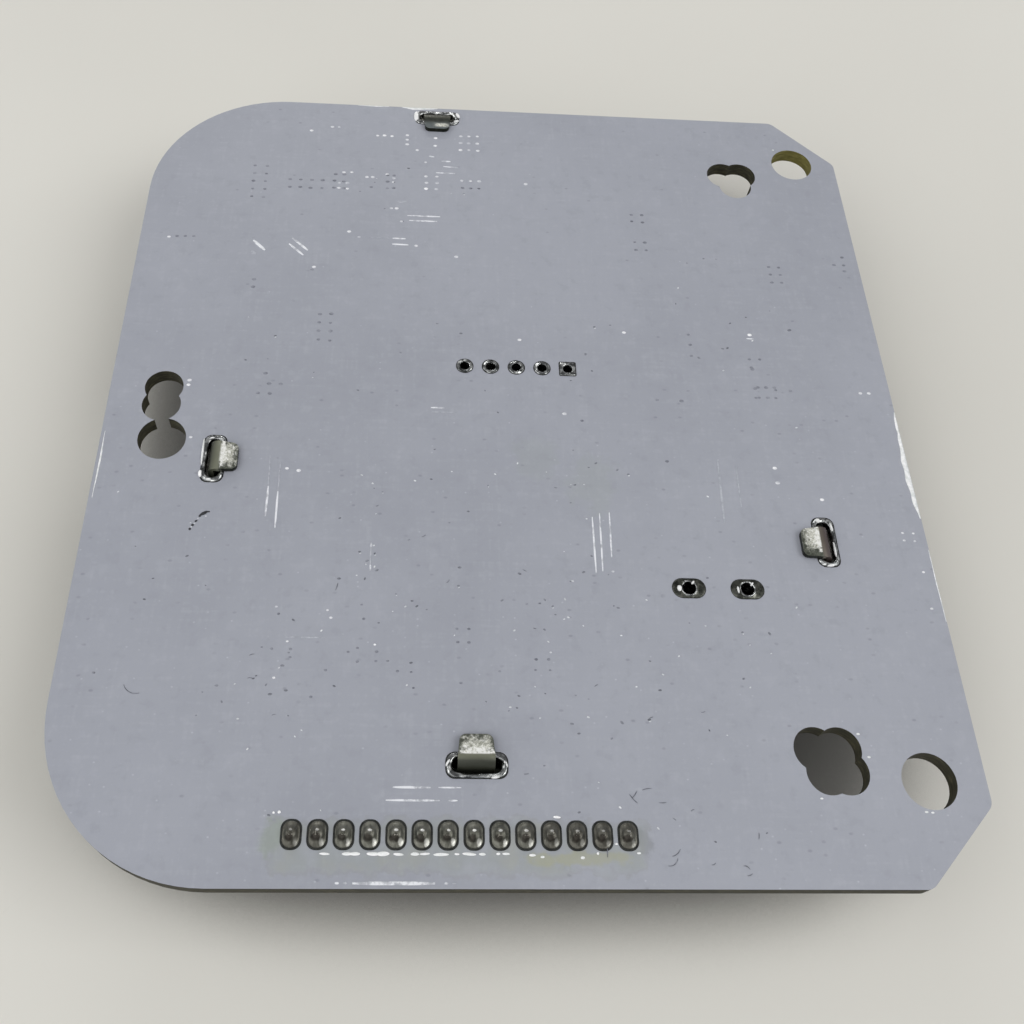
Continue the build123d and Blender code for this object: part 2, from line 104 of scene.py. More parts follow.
class Nodes:
    """A node tree, with a short call for each kind of node that the finishes and the room need."""

    def __init__(self, tree):
        self.tree = tree

    def add(self, kind, **settings):
        node = self.tree.nodes.new(kind)
        for name, value in settings.items():
            setattr(node, name, value)
        return node

    def link(self, source, socket):
        if hasattr(source, "is_linked"):
            self.tree.links.new(source, socket)
        else:
            socket.default_value = source

    def vector(self, operation, *values, scale=None):
        node = self.add("ShaderNodeVectorMath", operation=operation)
        for value, socket in zip(values, node.inputs):
            self.link(value, socket)
        if scale is not None:
            self.link(scale, node.inputs["Scale"])
        return node.outputs["Value" if operation in ("LENGTH", "DOT_PRODUCT") else "Vector"]

    def math(self, operation, *values, clamp=False):
        node = self.add("ShaderNodeMath", operation=operation, use_clamp=clamp)
        for value, socket in zip(values, node.inputs):
            self.link(value, socket)
        return node.outputs[0]

    def times(self, first, second):
        return self.math("MULTIPLY", first, second)

    def plus(self, first, second):
        return self.math("ADD", first, second)

    def part_of(self, vector, axis):
        node = self.add("ShaderNodeSeparateXYZ")
        self.link(vector, node.inputs[0])
        return node.outputs[axis]

    def levels(self, value, low, high, to_low=0.0, to_high=1.0, smooth=True):
        """Turns a value from low to high into one from to_low to to_high, and holds it beyond them."""
        node = self.add("ShaderNodeMapRange")
        node.interpolation_type = "SMOOTHSTEP" if smooth else "LINEAR"
        for source, name in ((value, "Value"), (low, "From Min"), (high, "From Max"),
                             (to_low, "To Min"), (to_high, "To Max")):
            self.link(source, node.inputs[name])
        return node.outputs["Result"]

    def band(self, value, rise, fall):
        """1 between two slopes and 0 outside them. A slope is the value where it is 0 and where it is 1."""
        return self.times(self.levels(value, *rise), self.levels(value, *fall))

    def frayed(self, value, pattern, depth):
        """The value pushed up and down by a pattern, which makes the edges drawn from it ragged."""
        return self.plus(value, self.levels(pattern, 0.3, 0.7, depth, -depth))


class Finish(Nodes):
    """A principled material. Its patterns are laid out in millimetres of the part's frame."""

    def __init__(self, name, **fixed):
        self.material = bpy.data.materials.new(name)
        self.material.use_nodes = True
        super().__init__(self.material.node_tree)
        self.shader = self.tree.nodes["Principled BSDF"]
        for socket, value in fixed.items():
            self.shader.inputs[socket.replace("_", " ")].default_value = value
        place = self.add("ShaderNodeTexCoord").outputs["Object"]
        self.place = self.vector("SCALE", place, scale=1 / MM)

    def stretched(self, stretch, offset):
        return self.vector("ADD", self.vector("MULTIPLY", self.place, stretch), offset)

    def from_point(self, x, y):
        """Where a place lies from a point of the board. Heights stay as they are."""
        return self.vector("SUBTRACT", self.place, (board_mid.x / MM + x, board_mid.y / MM + y, 0))

    def around(self, x, y, reach_x, reach_y):
        """Distance from a point of the board as a share of the reach along each axis, at any height."""
        spot = self.from_point(x, y)
        return self.vector("LENGTH", self.vector("MULTIPLY", spot, (1 / reach_x, 1 / reach_y, 0)))

    def noise(self, scale, detail=4.0, rough=0.55, stretch=(1, 1, 1), offset=(0, 0, 0), twist=0.0):
        node = self.add("ShaderNodeTexNoise")
        self.link(self.stretched(stretch, offset), node.inputs["Vector"])
        for name, value in (("Scale", scale), ("Detail", detail),
                            ("Roughness", rough), ("Distortion", twist)):
            node.inputs[name].default_value = value
        return node.outputs["Fac"]

    def specks(self, scale, radius, share, seed, stretch):
        """1 in small soft spots, one in some of the cells of a loose flat grid, and 0 between them."""
        node = self.add("ShaderNodeTexVoronoi", voronoi_dimensions="2D")
        self.link(self.stretched(stretch, (seed, seed, 0)), node.inputs["Vector"])
        node.inputs["Scale"].default_value = scale
        spot = self.levels(node.outputs["Distance"], radius * scale, radius * scale * 0.3)
        lot = self.part_of(node.outputs["Color"], "X")
        return self.times(spot, self.math("GREATER_THAN", lot, self.math("SUBTRACT", 1.0, share)))

    def ramp(self, value, *stops):
        node = self.add("ShaderNodeValToRGB")
        elements = node.color_ramp.elements
        while len(elements) < len(stops):
            elements.new(0.5)
        for element, (position, colour) in zip(elements, stops):
            element.position = position
            element.color = colour
        self.link(value, node.inputs["Fac"])
        return node.outputs["Color"]

    def mix(self, share, first, second):
        node = self.add("ShaderNodeMix", data_type="RGBA")
        for source, socket in ((share, 0), (first, 6), (second, 7)):
            self.link(source, node.inputs[socket])
        return node.outputs[2]

    def tint(self, base, value, low, high, strength, colour):
        """The base with a colour over it: none at the low value, and by the strength at the high one."""
        return self.mix(self.levels(value, low, high, 0.0, strength), base, colour)

    def upward(self):
        """How far the surface faces up or down: 1 on flat faces and 0 on upright ones."""
        geometry = self.add("ShaderNodeNewGeometry")
        return self.math("ABSOLUTE", self.part_of(geometry.outputs["True Normal"], "Z"))

    def bump(self, height, distance, under=None):
        node = self.add("ShaderNodeBump")
        node.inputs["Distance"].default_value = distance * MM
        self.link(height, node.inputs["Height"])
        if under is not None:
            self.link(under, node.inputs["Normal"])
        return node.outputs["Normal"]

    def wear(self, colour, rough=None, normal=None):
        for source, name in ((colour, "Base Color"), (rough, "Roughness"), (normal, "Normal")):
            if source is not None:
                self.link(source, self.shader.inputs[name])
        return self.material


def mask_colours(finish):
    """Colour and roughness of the pale grey solder mask: cloudy, grained, and faintly woven."""
    cloud = finish.noise(0.045, 3)
    blotch = finish.noise(0.8, 4, 0.6)
    grain = finish.noise(5.0, 3, 0.7)
    warp = finish.noise(1.0, 2, 0.5, stretch=(2.4, 0.22, 1))
    weft = finish.noise(1.0, 2, 0.5, stretch=(0.22, 2.4, 1), offset=(9, 4, 0))
    base = finish.ramp(cloud, (0.36, srgb(156, 159, 168)), (0.62, srgb(162, 165, 174)))
    base = finish.tint(base, blotch, 0.54, 0.70, 0.40, srgb(150, 153, 162))
    base = finish.tint(base, blotch, 0.46, 0.30, 0.30, srgb(172, 175, 183))
    base = finish.tint(base, grain, 0.60, 0.80, 0.25, srgb(136, 139, 148))
    base = finish.tint(base, grain, 0.38, 0.24, 0.25, srgb(188, 191, 198))
    base = finish.tint(base, finish.plus(warp, weft), 1.05, 1.40, 0.35, srgb(174, 177, 184))
    rough = finish.levels(finish.noise(0.35, 5, 0.6), 0.35, 0.68, 0.42, 0.56)
    return base, rough


def flux_stain(finish, base):
    """Flux film round the row of header joints: a grey-green haze, yellower in places, browner at its rim."""
    row = lumps("header_solder_joints")
    first, half = row[0]
    last = row[-1][0]
    spare_x, spare_y, corner, nearer = 1.0, 0.95, 0.9, 0.8
    patchy = finish.noise(0.7, 4, 0.6, offset=(3.1, 0, 0))
    spot = finish.vector("ABSOLUTE", finish.from_point((first.x + last.x) / 2, first.y - nearer))
    core = ((last.x - first.x) / 2 + half.x + spare_x - corner, half.y + spare_y - corner, 0)
    spot = finish.vector("MAXIMUM", finish.vector("SUBTRACT", spot, core), (0, 0, 0))
    spot = finish.vector("LENGTH", finish.vector("MULTIPLY", spot, (1, 1, 0)))
    reach = finish.frayed(spot, patchy, 0.45)
    film = finish.ramp(finish.noise(0.4, 3, 0.5, offset=(0, 7, 0)), (0.36, srgb(164, 168, 172)),
                       (0.50, srgb(152, 158, 154)), (0.64, srgb(158, 161, 148)))
    base = finish.tint(base, reach, 1.1, 0.0, 0.50, film)
    rim = finish.band(reach, (0.40, 0.72), (1.05, 0.78))
    base = finish.mix(finish.times(rim, 0.10), base, srgb(122, 118, 104))
    for x, y, reach_x, reach_y, strength, colour in stain_patches:
        ragged = finish.frayed(finish.around(x, y, reach_x, reach_y), patchy, 0.3)
        base = finish.tint(base, ragged, 1.0, 0.55, strength, colour)
    return base


# middle, reach along x and y, strength and colour of the plainer stains
stain_patches = [
    (-19.3, -38.7, 1.2, 1.8, 0.50, srgb(146, 156, 142)),
    (3.9, -40.0, 4.6, 0.65, 0.50, srgb(164, 164, 132)),
    (9.4, -38.9, 0.9, 1.5, 0.40, srgb(132, 136, 140)),
    (7.4, -6.8, 2.8, 3.8, 0.14, srgb(150, 160, 144)),
    (2.2, -4.4, 2.6, 2.4, 0.11, srgb(150, 160, 144)),
]


def board_finish():
    finish = Finish("board_mask_finish", IOR=1.45)
    base, rough = mask_colours(finish)
    lower = finish.levels(finish.part_of(finish.place, "Y"), -8.0, 16.0, 0.07, 0.015)
    soft = finish.levels(finish.noise(0.9, 2, offset=(4, 4, 4)), 0.35, 0.65, 0.10, 0.50)
    dark_specks = finish.times(finish.specks(1.4, 0.16, lower, 3.0, (0.6, 1, 1)), soft)
    base = finish.mix(dark_specks, base, srgb(124, 127, 135))
    # pale specks: partly dust, partly painted small glints of the mask
    light_flecks_and_glints = finish.times(finish.specks(1.2, 0.10, lower, 41.0, (0.8, 1, 1)), soft)
    base = finish.mix(light_flecks_and_glints, base, srgb(198, 201, 207))
    base = flux_stain(finish, base)

    # cut walls: dark resin with layers of glass cloth, paler round the far corner hole
    layer = finish.noise(1.0, 4, 0.6, stretch=(1.2, 1.2, 9.0))
    resin = finish.ramp(layer, (0.28, srgb(28, 27, 21)), (0.52, srgb(56, 54, 40)),
                        (0.76, srgb(98, 94, 70)))
    paler_resin = finish.ramp(layer, (0.28, srgb(92, 86, 44)), (0.55, srgb(124, 118, 64)),
                      (0.78, srgb(160, 154, 100)))
    wall = finish.tint(resin, finish.around(*far_hole, 3.0, 3.0), 1.15, 0.85, 1.0, paler_resin)
    face = finish.levels(finish.upward(), 0.4, 0.6)
    rough = finish.levels(face, 0.0, 1.0, 0.72, rough, smooth=False)
    peel = finish.bump(finish.noise(1.6, 3, 0.5), 0.007)
    peel = finish.bump(finish.noise(7.0, 3, 0.6), 0.003, under=peel)
    return finish.wear(finish.mix(face, wall, base), rough, peel)


def glint_finish():
    """Mask over the shoulder of a copper track or via, painted near white in broken lengths as a glint."""
    finish = Finish("track_glint_finish", IOR=1.5, Coat_Weight=0.5, Coat_Roughness=0.12)
    base, rough = mask_colours(finish)
    broken = finish.noise(1.1, 4, 0.65, offset=(2.0, 5.0, 0.0))
    # painted glint: near-white broken lengths over the mask's colour
    base = finish.mix(finish.levels(broken, 0.36, 0.56, 0.15, 1.0), base, srgb(236, 238, 242))
    return finish.wear(base, rough, finish.bump(finish.noise(4.0, 3), 0.008))


def even_finish(name, pattern, stops, roughness, relief, **fixed):
    """A finish whose colour, roughness and relief all follow one noise."""
    finish = Finish(name, **fixed)
    tone = finish.noise(*pattern)
    rough = finish.levels(tone, 0.3, 0.7, *roughness)
    return finish.wear(finish.ramp(tone, *stops), rough, finish.bump(tone, relief))


def tone_finish(name, dark, light, scale=2.5):
    """Mask, flux or bare laminate with a tone of its own over low swellings."""
    stops = ((0.36, dark), (0.64, light))
    return even_finish(name, (scale, 3, 0.6), stops, (0.34, 0.52), 0.006, IOR=1.48)


def flux_highlight_finish():
    """Clear flux that has run together in glossy beads, coloured near white as a painted highlight."""
    stops = ((0.34, srgb(232, 236, 234)), (0.58, srgb(255, 255, 255)))
    return even_finish("flux_highlight_bead_finish", (1.6, 4, 0.6), stops, (0.10, 0.30), 0.015,
                       IOR=1.52, Coat_Weight=0.8, Coat_Roughness=0.05)


def tab_frames():
    """(side, middle of the slot, direction of the fold, shift of the worn, painted-bright patch) of each lock
    tab.
    """
    frames = []
    for middle, half in lumps("shield_slot_rims"):
        if half.x < half.y:
            side, fold = ("left", (1.0, 0.0)) if middle.x < 0 else ("right", (-1.0, 0.0))
            frames.append((side, middle, fold, (0.0, 0.18)))
        elif middle.y > 0:
            frames.append(("far", middle, (0.0, -1.0), (0.50, 0.0)))
        else:
            frames.append(("near", middle, (0.0, 1.0), (0.0, 0.0)))
    return frames


def tinplate_finish():
    """Tinned steel: a fine rolled grain, painted shade in the bends and on the upright faces of the lock
    tabs, and the tabs rubbed bright by the tool and painted brighter still as a highlight.
    """
    finish = Finish("tinplate_finish", Metallic=1.0)
    rolled = finish.noise(1.3, 4, 0.6, stretch=(0.35, 3.0, 1.0))
    cloud = finish.noise(0.16, 3, 0.5)
    mottle = finish.noise(3.0, 5, 0.68, twist=0.7)
    base = finish.ramp(rolled, (0.30, srgb(176, 177, 172)), (0.70, srgb(202, 202, 197)))
    base = finish.tint(base, cloud, 0.35, 0.68, 0.35, srgb(212, 212, 208))

    # everything above the board's lower face belongs to a lock tab
    low_face = board_low.z / MM
    tab = finish.levels(finish.part_of(finish.place, "Z"), low_face - 0.15, low_face - 0.02)
    fine = finish.noise(3.6, 4, 0.65, twist=0.5)
    skin = finish.ramp(fine, (0.34, srgb(96, 100, 90)), (0.66, srgb(140, 144, 132)))
    # painted shade for the upright faces of the tabs
    upright_shade = finish.ramp(mottle, (0.34, srgb(34, 36, 31)), (0.66, srgb(66, 68, 60)))

    # how worn and painted as highlight, how turned down into the painted shade of the bend, and how shiny a
    # place is, added up over the four tabs, each only near itself
    wear_and_highlight, bend, glow = 0.0, 0.0, fine
    for side, middle, fold, shift in tab_frames():
        spot = finish.from_point(middle.x, middle.y)
        along = finish.vector("DOT_PRODUCT", spot, (*fold, 0))
        patch = finish.vector("SUBTRACT", spot, (*shift, 0))
        across = finish.math("ABSOLUTE", finish.vector("DOT_PRODUCT", patch, (fold[1], fold[0], 0)))
        nearby = finish.times(finish.levels(across, 2.4, 2.2),
                              finish.levels(finish.math("ABSOLUTE", along), 3.4, 3.2))
        if side == "far":
            # a painted highlight only in a small spot near its end, and painted shade darkening from there
            # down to the bend
            cold = nearby
            rise = finish.levels(along, 0.90, 1.90)
            spread = finish.band(along, (1.30, 1.62), (2.02, 1.84))
            spread = finish.times(finish.levels(across, 1.15, 0.25), spread)
        else:
            ragged = finish.frayed(across, mottle, 0.35)
            reach = finish.frayed(along, mottle, 0.35)
            spread = finish.times(finish.levels(ragged, 1.40, 0.75), finish.levels(reach, 2.50, 1.50))
            # a painted highlight along the crest of the bend
            from_crest = finish.math("ABSOLUTE", finish.math("SUBTRACT", along, 0.88))
            crest = finish.times(finish.levels(from_crest, 0.22, 0.05), finish.levels(ragged, 1.45, 1.15))
            spread = finish.math("MAXIMUM", spread, crest)
            glow = finish.plus(glow, finish.times(finish.levels(along, 1.50, 0.85, 0.0, 0.12), nearby))
        if side == "right":
            warm = nearby
        wear_and_highlight = finish.math("MAXIMUM", wear_and_highlight, finish.times(spread, nearby))
        fall = (0.78, -0.30) if side == "left" else (0.80, 0.18)
        shade = finish.times(finish.levels(along, *fall, smooth=False), nearby)
        bend = finish.math("MAXIMUM", bend, shade)
    # painted highlight: the colour of the worn tab tops, up to near white
    rubbed_highlight = finish.ramp(glow, (0.32, srgb(132, 134, 122)), (0.50, srgb(214, 214, 202)),
                         (0.64, srgb(255, 255, 250)))
    # painted shade of the bend, darker towards the slot
    bend_shade = finish.ramp(bend, (0.05, srgb(134, 136, 120)), (0.50, srgb(108, 110, 94)),
                         (0.95, srgb(60, 62, 53)))

    # the painted bend shade is browner on the right tab and darker on the far tab
    bend_shade = finish.mix(finish.times(warm, 0.6), bend_shade, srgb(92, 76, 76))
    bend_shade = finish.mix(finish.times(cold, 0.8), bend_shade, srgb(62, 62, 55))
    # painted shade on the far tab, darker towards its bend
    far_tab_shading = finish.ramp(rise, (0.1, srgb(74, 76, 72)), (0.9, srgb(150, 158, 160)))
    skin = finish.mix(finish.times(cold, 0.8), skin, far_tab_shading)

    # upright faces of a tab get painted shade
    turned = finish.levels(bend, 0.0, 0.20)
    face = finish.mix(wear_and_highlight, skin, rubbed_highlight)
    face = finish.mix(finish.levels(finish.upward(), 0.30, 0.70), upright_shade, face)
    face = finish.mix(turned, face, bend_shade)
    dull = finish.times(finish.math("MAXIMUM", wear_and_highlight, turned), tab)
    finish.link(finish.levels(dull, 0.0, 1.0, 1.0, 0.30), finish.shader.inputs["Metallic"])
    rough = finish.levels(cloud, 0.35, 0.70, 0.26, 0.38)
    rough = finish.levels(tab, 0.0, 1.0, rough, finish.levels(mottle, 0.35, 0.65, 0.30, 0.46), smooth=False)
    normal = finish.bump(finish.times(fine, tab), 0.025, under=finish.bump(rolled, 0.003))
    return finish.wear(finish.mix(tab, base, face), rough, normal)


def joint_finish():
    """Dull solder, paler down both flanks, with a painted dark reflection at the foot of each pin's near side
    and painted highlights at its lower right and on the far side of its nub.
    """
    finish = Finish("joint_solder_finish", Metallic=0.75)
    row = lumps("header_solder_joints")
    pitch = (row[-1][0].x - row[0][0].x) / (len(row) - 1)
    spot = finish.from_point(row[0][0].x, row[0][0].y)
    x = finish.math("WRAP", finish.part_of(spot, "X"), pitch / 2, -pitch / 2)
    y = finish.part_of(spot, "Y")

    # joints are counted from the left, and those at both ends are dirtier and get weaker painted highlights
    count = finish.math("DIVIDE", finish.part_of(spot, "X"), pitch)
    clean_and_highlit = finish.times(finish.levels(count, 0.6, 1.8, 0.35, 1.0),
                         finish.levels(count, 10.5, 8.0, 0.40, 1.0))
    mottle = finish.noise(1.5, 4, 0.6, twist=0.6)
    streak = finish.noise(1.4, 3, 0.6, stretch=(2.6, 0.7, 1))
    base = finish.ramp(mottle, (0.34, srgb(84, 84, 76)), (0.52, srgb(102, 102, 93)),
                       (0.70, srgb(122, 121, 112)))
    base = finish.tint(base, streak, 0.40, 0.62, 0.55, srgb(134, 134, 125))
    base = finish.tint(base, clean_and_highlit, 1.0, 0.4, 0.35, srgb(70, 64, 58))

    def blot(strength, inner, outer, at_x, at_y, reach_x, reach_y):
        """A ragged spot of each joint, with the inner and outer ends of its soft edge as squared shares."""
        far_x = finish.math("DIVIDE", finish.math("SUBTRACT", x, at_x), reach_x)
        far_y = finish.math("DIVIDE", finish.math("SUBTRACT", y, at_y), reach_y)
        far = finish.plus(finish.times(far_x, far_x), finish.times(far_y, far_y))
        return finish.levels(finish.frayed(far, mottle, 0.4), outer, inner, 0.0, strength)

    # painted dark reflection on the near slope in front of the pin
    base = finish.mix(blot(0.85, 0.3, 1.2, -0.12, -0.30, 0.40, 0.32), base, srgb(40, 35, 30))
    # painted highlight: a pale smear at the lower right
    glint = finish.times(clean_and_highlit, blot(0.90, 0.2, 1.2, 0.36, -0.62, 0.20, 0.34))
    base = finish.mix(glint, base, srgb(214, 214, 206))
    # painted highlight: a small white spot on the far side of the nub
    glint = finish.times(clean_and_highlit, blot(0.95, 0.4, 1.1, 0.0, 0.24, 0.17, 0.10))
    base = finish.mix(glint, base, srgb(246, 246, 242))
    rough = finish.levels(finish.noise(2.0, 3), 0.35, 0.65, 0.36, 0.50)
    return finish.wear(base, rough, finish.bump(finish.noise(2.2, 2, 0.5), 0.006))


def solder_finish(name, dark, middle, light, rough_low, rough_high):
    """Solder that has dulled unevenly."""
    finish = Finish(name, Metallic=1.0)
    mottle = finish.noise(1.4, 3, 0.55, twist=0.6)
    base = finish.ramp(mottle, (0.34, dark), (0.50, middle), (0.64, light))
    rough = finish.levels(finish.noise(3.0, 4), 0.35, 0.65, rough_low, rough_high)
    return finish.wear(base, rough, finish.bump(finish.noise(1.9, 2, 0.5), 0.022))


def plastic_finish(name, dark, light, rough_low=0.45, rough_high=0.62):
    """Glass-filled moulding: faint flow marks and a fine grain."""
    finish = Finish(name, IOR=1.5)
    flow = finish.noise(0.5, 4, 0.6, stretch=(1, 2.5, 1))
    grain = finish.noise(9.0, 3, 0.6)
    base = finish.tint(finish.ramp(flow, (0.35, dark), (0.65, light)), grain, 0.6, 0.8, 0.35, light)
    rough = finish.levels(grain, 0.3, 0.7, rough_low, rough_high)
    return finish.wear(base, rough, finish.bump(grain, 0.006))


def metal_finish(name, dark, light, stretch=(1, 1, 1)):
    """Drawn or rolled metal with a grain along one way."""
    finish = Finish(name, Metallic=1.0)
    grain = finish.noise(2.5, 5, 0.65, stretch=stretch)
    base = finish.ramp(grain, (0.32, dark), (0.66, light))
    rough = finish.levels(finish.noise(1.2, 4), 0.35, 0.65, 0.22, 0.38)
    return finish.wear(base, rough, finish.bump(grain, 0.006))


def ferrite_finish():
    stops = ((0.32, srgb(46, 46, 48)), (0.55, srgb(74, 74, 76)), (0.75, srgb(104, 103, 100)))
    return even_finish("ferrite_finish", (6.0, 5, 0.7), stops, (0.5, 0.8), 0.02, IOR=1.6)


def copper_finish():
    """Enamelled wire laid side by side, with painted shade between the turns."""
    finish = Finish("copper_wire_finish", Metallic=1.0, Coat_Weight=0.6, Coat_Roughness=0.15)
    turn = finish.math("SINE", finish.times(finish.part_of(finish.place, "Z"), 6.0))
    turn = finish.math("ABSOLUTE", turn)
    base = finish.ramp(finish.noise(1.5, 4), (0.35, srgb(150, 76, 40)), (0.65, srgb(204, 120, 70)))
    # painted shade in the grooves between the turns
    base = finish.tint(base, turn, 0.25, 0.0, 1.0, srgb(66, 30, 16))
    return finish.wear(base, finish.levels(turn, 0.0, 1.0, 0.5, 0.25), finish.bump(turn, 0.06))


def ceramic_finish():
    finish = Finish("ceramic_finish", IOR=1.45)
    tone = finish.noise(1.4, 3, 0.6)
    base = finish.ramp(tone, (0.4, srgb(138, 108, 78)), (0.6, srgb(176, 146, 112)))
    return finish.wear(base, finish.levels(tone, 0.3, 0.7, 0.5, 0.8), finish.bump(finish.noise(8.0, 3), 0.01))


board_mask = board_finish()
tinplate = tinplate_finish()
joint_solder = joint_finish()
rim_solder = solder_finish("rim_solder_finish", srgb(74, 76, 76), srgb(138, 140, 140),
                           srgb(228, 230, 228), 0.14, 0.30)
# painted highlight: near white from any side
glint_solder = tone_finish("glint_solder_finish", srgb(228, 230, 228), srgb(255, 255, 255), 1.2)
land_tin = solder_finish("land_tin_finish", srgb(58, 60, 56), srgb(84, 86, 80),
                         srgb(116, 117, 110), 0.22, 0.40)
# painted shade: the gap round metal in a mask opening, near black
gap_shade_laminate = tone_finish("gap_shade_laminate_finish", srgb(18, 20, 18), srgb(42, 44, 40))
# a faint painted glint, paler than the mask
faint_glint_mask = tone_finish("faint_glint_mask_finish", srgb(160, 163, 172), srgb(188, 191, 198))
# painted shade of a via's dimple
via_shade = tone_finish("via_dimple_shade_finish", srgb(110, 113, 122), srgb(148, 151, 160), 1.2)
track_glint = glint_finish()
# painted glint: near-white domes
via_shine = tone_finish("via_glint_finish", srgb(184, 187, 195), srgb(250, 250, 252), 0.7)
flux_highlight_bead = flux_highlight_finish()
# painted highlight of bared laminate at the edges, near white
chipped_edge_highlight = tone_finish("chipped_highlight_finish", srgb(226, 230, 228), srgb(255, 255, 255))
dark_speck = tone_finish("dark_dust_finish", srgb(92, 95, 102), srgb(138, 141, 149))
# pale dust, partly painted small glints
pale_fleck_glint = tone_finish("pale_fleck_glint_finish", srgb(196, 199, 203), srgb(236, 238, 240))
scorch = tone_finish("scuff_finish", srgb(28, 30, 33), srgb(62, 64, 68))

node_finishes = {
    "circuit_board": board_mask,
    "shield_can": tinplate,
    "header_housing": plastic_finish("header_plastic_finish", srgb(30, 30, 32), srgb(48, 48, 51)),
    "header_pins": metal_finish("tinned_pin_finish", srgb(150, 146, 132), srgb(214, 211, 200), (1, 1, 0.15)),
    "power_inductor_core": ferrite_finish(),
    "power_inductor_terminals": metal_finish("terminal_tin_finish", srgb(150, 150, 146), srgb(220, 220, 214)),
    "choke_base": plastic_finish("choke_base_finish", srgb(24, 24, 26), srgb(40, 40, 42)),
    "choke_windings": copper_finish(),
    "capacitor_can": metal_finish("capacitor_aluminium_finish", srgb(186, 188, 190),
                                  srgb(232, 233, 234), (1, 1, 6)),
    "ceramic_capacitor_bodies": ceramic_finish(),
    "chip_body": plastic_finish("chip_epoxy_finish", srgb(28, 28, 30), srgb(44, 44, 46), 0.5, 0.68),
    "leads": metal_finish("tinned_lead_finish", srgb(158, 158, 156), srgb(226, 226, 222), (1, 1, 0.3)),
}

# nodes with the finish of another
finish_of = {
    "choke_core": "power_inductor_core",
    "crystal_can": "capacitor_can",
    "crystal_base": "choke_base",
    "capacitor_base": "choke_base",
}


def ease_edges(node):
    """Rounds the sheared edges of the sheet metal a little."""
    node.modifiers.new("join", "WELD").merge_threshold = 0.001 * MM
    ease = node.modifiers.new("ease", "BEVEL")
    ease.width = 0.10 * MM
    ease.segments = 3
    ease.limit_method = "ANGLE"
    ease.angle_limit = math.radians(50)
    ease.harden_normals = True


def dress_nodes():
    """Gives every CAD node a finish, by how its name starts or else by the kind of part."""
    for name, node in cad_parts.items():
        found = [key for key in node_finishes if name.startswith(key)]
        found += [like for key, like in finish_of.items() if name.startswith(key)]
        if not found:
            is_metal = any(word in name for word in ("leads", "caps", "feet", "metal"))
            found = ["leads" if is_metal else "chip_body"]
        finish = node_finishes[found[0]]
        if not node.material_slots:
            node.data.materials.append(finish)
        for used in node.material_slots:
            used.material = finish
        if name == "shield_can":
            ease_edges(node)


# ---------------- mesh building
def put(name, data):
    """A new object in the scene."""
    made = bpy.data.objects.new(name, data)
    bpy.context.scene.collection.objects.link(made)
    return made


class Shape:
    """Vertices and faces of one piece, gathered part by part."""

    def __init__(self):
        self.verts = []
        self.faces = []

    def loft(self, rings, wrap=False):
        """Skins rings of equal length. A wrapped one closes on itself, any other is capped at both ends."""
        start, count = len(self.verts), len(rings[0])
        self.verts += [point for ring in rings for point in ring]
        levels = len(rings) if wrap else len(rings) - 1
        for level in range(levels):
            low = start + level * count
            high = start + (level + 1) % len(rings) * count
            for i in range(count):
                j = (i + 1) % count
                self.faces.append((low + i, low + j, high + j, high + i))
        if not wrap:
            last = start + (len(rings) - 1) * count
            self.faces.append(tuple(reversed(range(start, start + count))))
            self.faces.append(tuple(range(last, last + count)))

    def piece(self, name, material, slot, smooth=True, stands_for=()):
        mesh = bpy.data.meshes.new(name)
        mesh.from_pydata(self.verts, [], self.faces)
        mesh.validate()
        mesh.materials.append(material)
        mesh.polygons.foreach_set("use_smooth", [smooth] * len(mesh.polygons))
        made = put(name, mesh)
        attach(made, "root")
        if stands_for:
            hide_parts(*stands_for)


def rounded_outline(half_x, half_y, corner, quarter=12):
    """Evenly spaced points round a rectangle with round corners, anticlockwise from its right side."""
    up, arc, across = half_y - corner, corner * math.pi / 2, half_x - corner
    path = []
    for i in range(quarter + 1):
        along = (up + arc + across) * i / quarter
        if along < up:
            path.append((half_x, along))
        elif along < up + arc:
            turn = (along - up) / corner
            path.append((across + corner * math.cos(turn), up + corner * math.sin(turn)))
        else:
            path.append((across - (along - up - arc), half_y))
    ring = path[:-1]
    ring += [(-x, y) for x, y in reversed(path[1:])]
    ring += [(-x, -y) for x, y in path[:-1]]
    ring += [(x, -y) for x, y in reversed(path[1:])]
    return ring


# a corner of this share of the half width makes the end of an outline all but round
round_share = 0.99


def round_outline(radius):
    return rounded_outline(radius, radius, radius * round_share)


def blend_outlines(first, second, share):
    return [(a[0] + (b[0] - a[0]) * share, a[1] + (b[1] - a[1]) * share) for a, b in zip(first, second)]


def ring_at(middle, outline, height):
    """An outline put round a point of the board, at one height or at one for each of its points."""
    heights = height if isinstance(height, list) else [height] * len(outline)
    return [on_board(middle.x + x, middle.y + y, z) for (x, y), z in zip(outline, heights)]


def wavy(count, seed, waves, depth):
    """Heights that wander smoothly round a closed ring."""
    made = []
    for i in range(count):
        turn = 2 * math.pi * i / count
        spot = Vector((math.cos(turn) * waves, math.sin(turn) * waves, seed * 7.3))
        made.append(depth * noise.noise(spot))
    return made


# ---------------- solder joints of the header
pad_corner = 0.72
joint_gap = 0.15
joint_waves = 0.9

# the foot's share of the way in to the nub, and its height there
foot_profile = ((0.008, 0.05), (0.03, 0.09), (0.07, 0.12))

# the hollow fillet climbs from its foot to just under the nub, and the nub's cap rounds off over the pin
fillet_foot = 0.125
fillet_hollow = 1.9
fillet_steps = 16
nub_radius = 0.38
nub_base = 0.11
nub_cap = 0.13
cap_start = math.radians(42)
cap_end = math.radians(89)
cap_steps = 7
solder_over_pin = 0.015

# a mask window stands this high, and runs this far in under the metal
window_height = 0.015
window_lap = 0.06


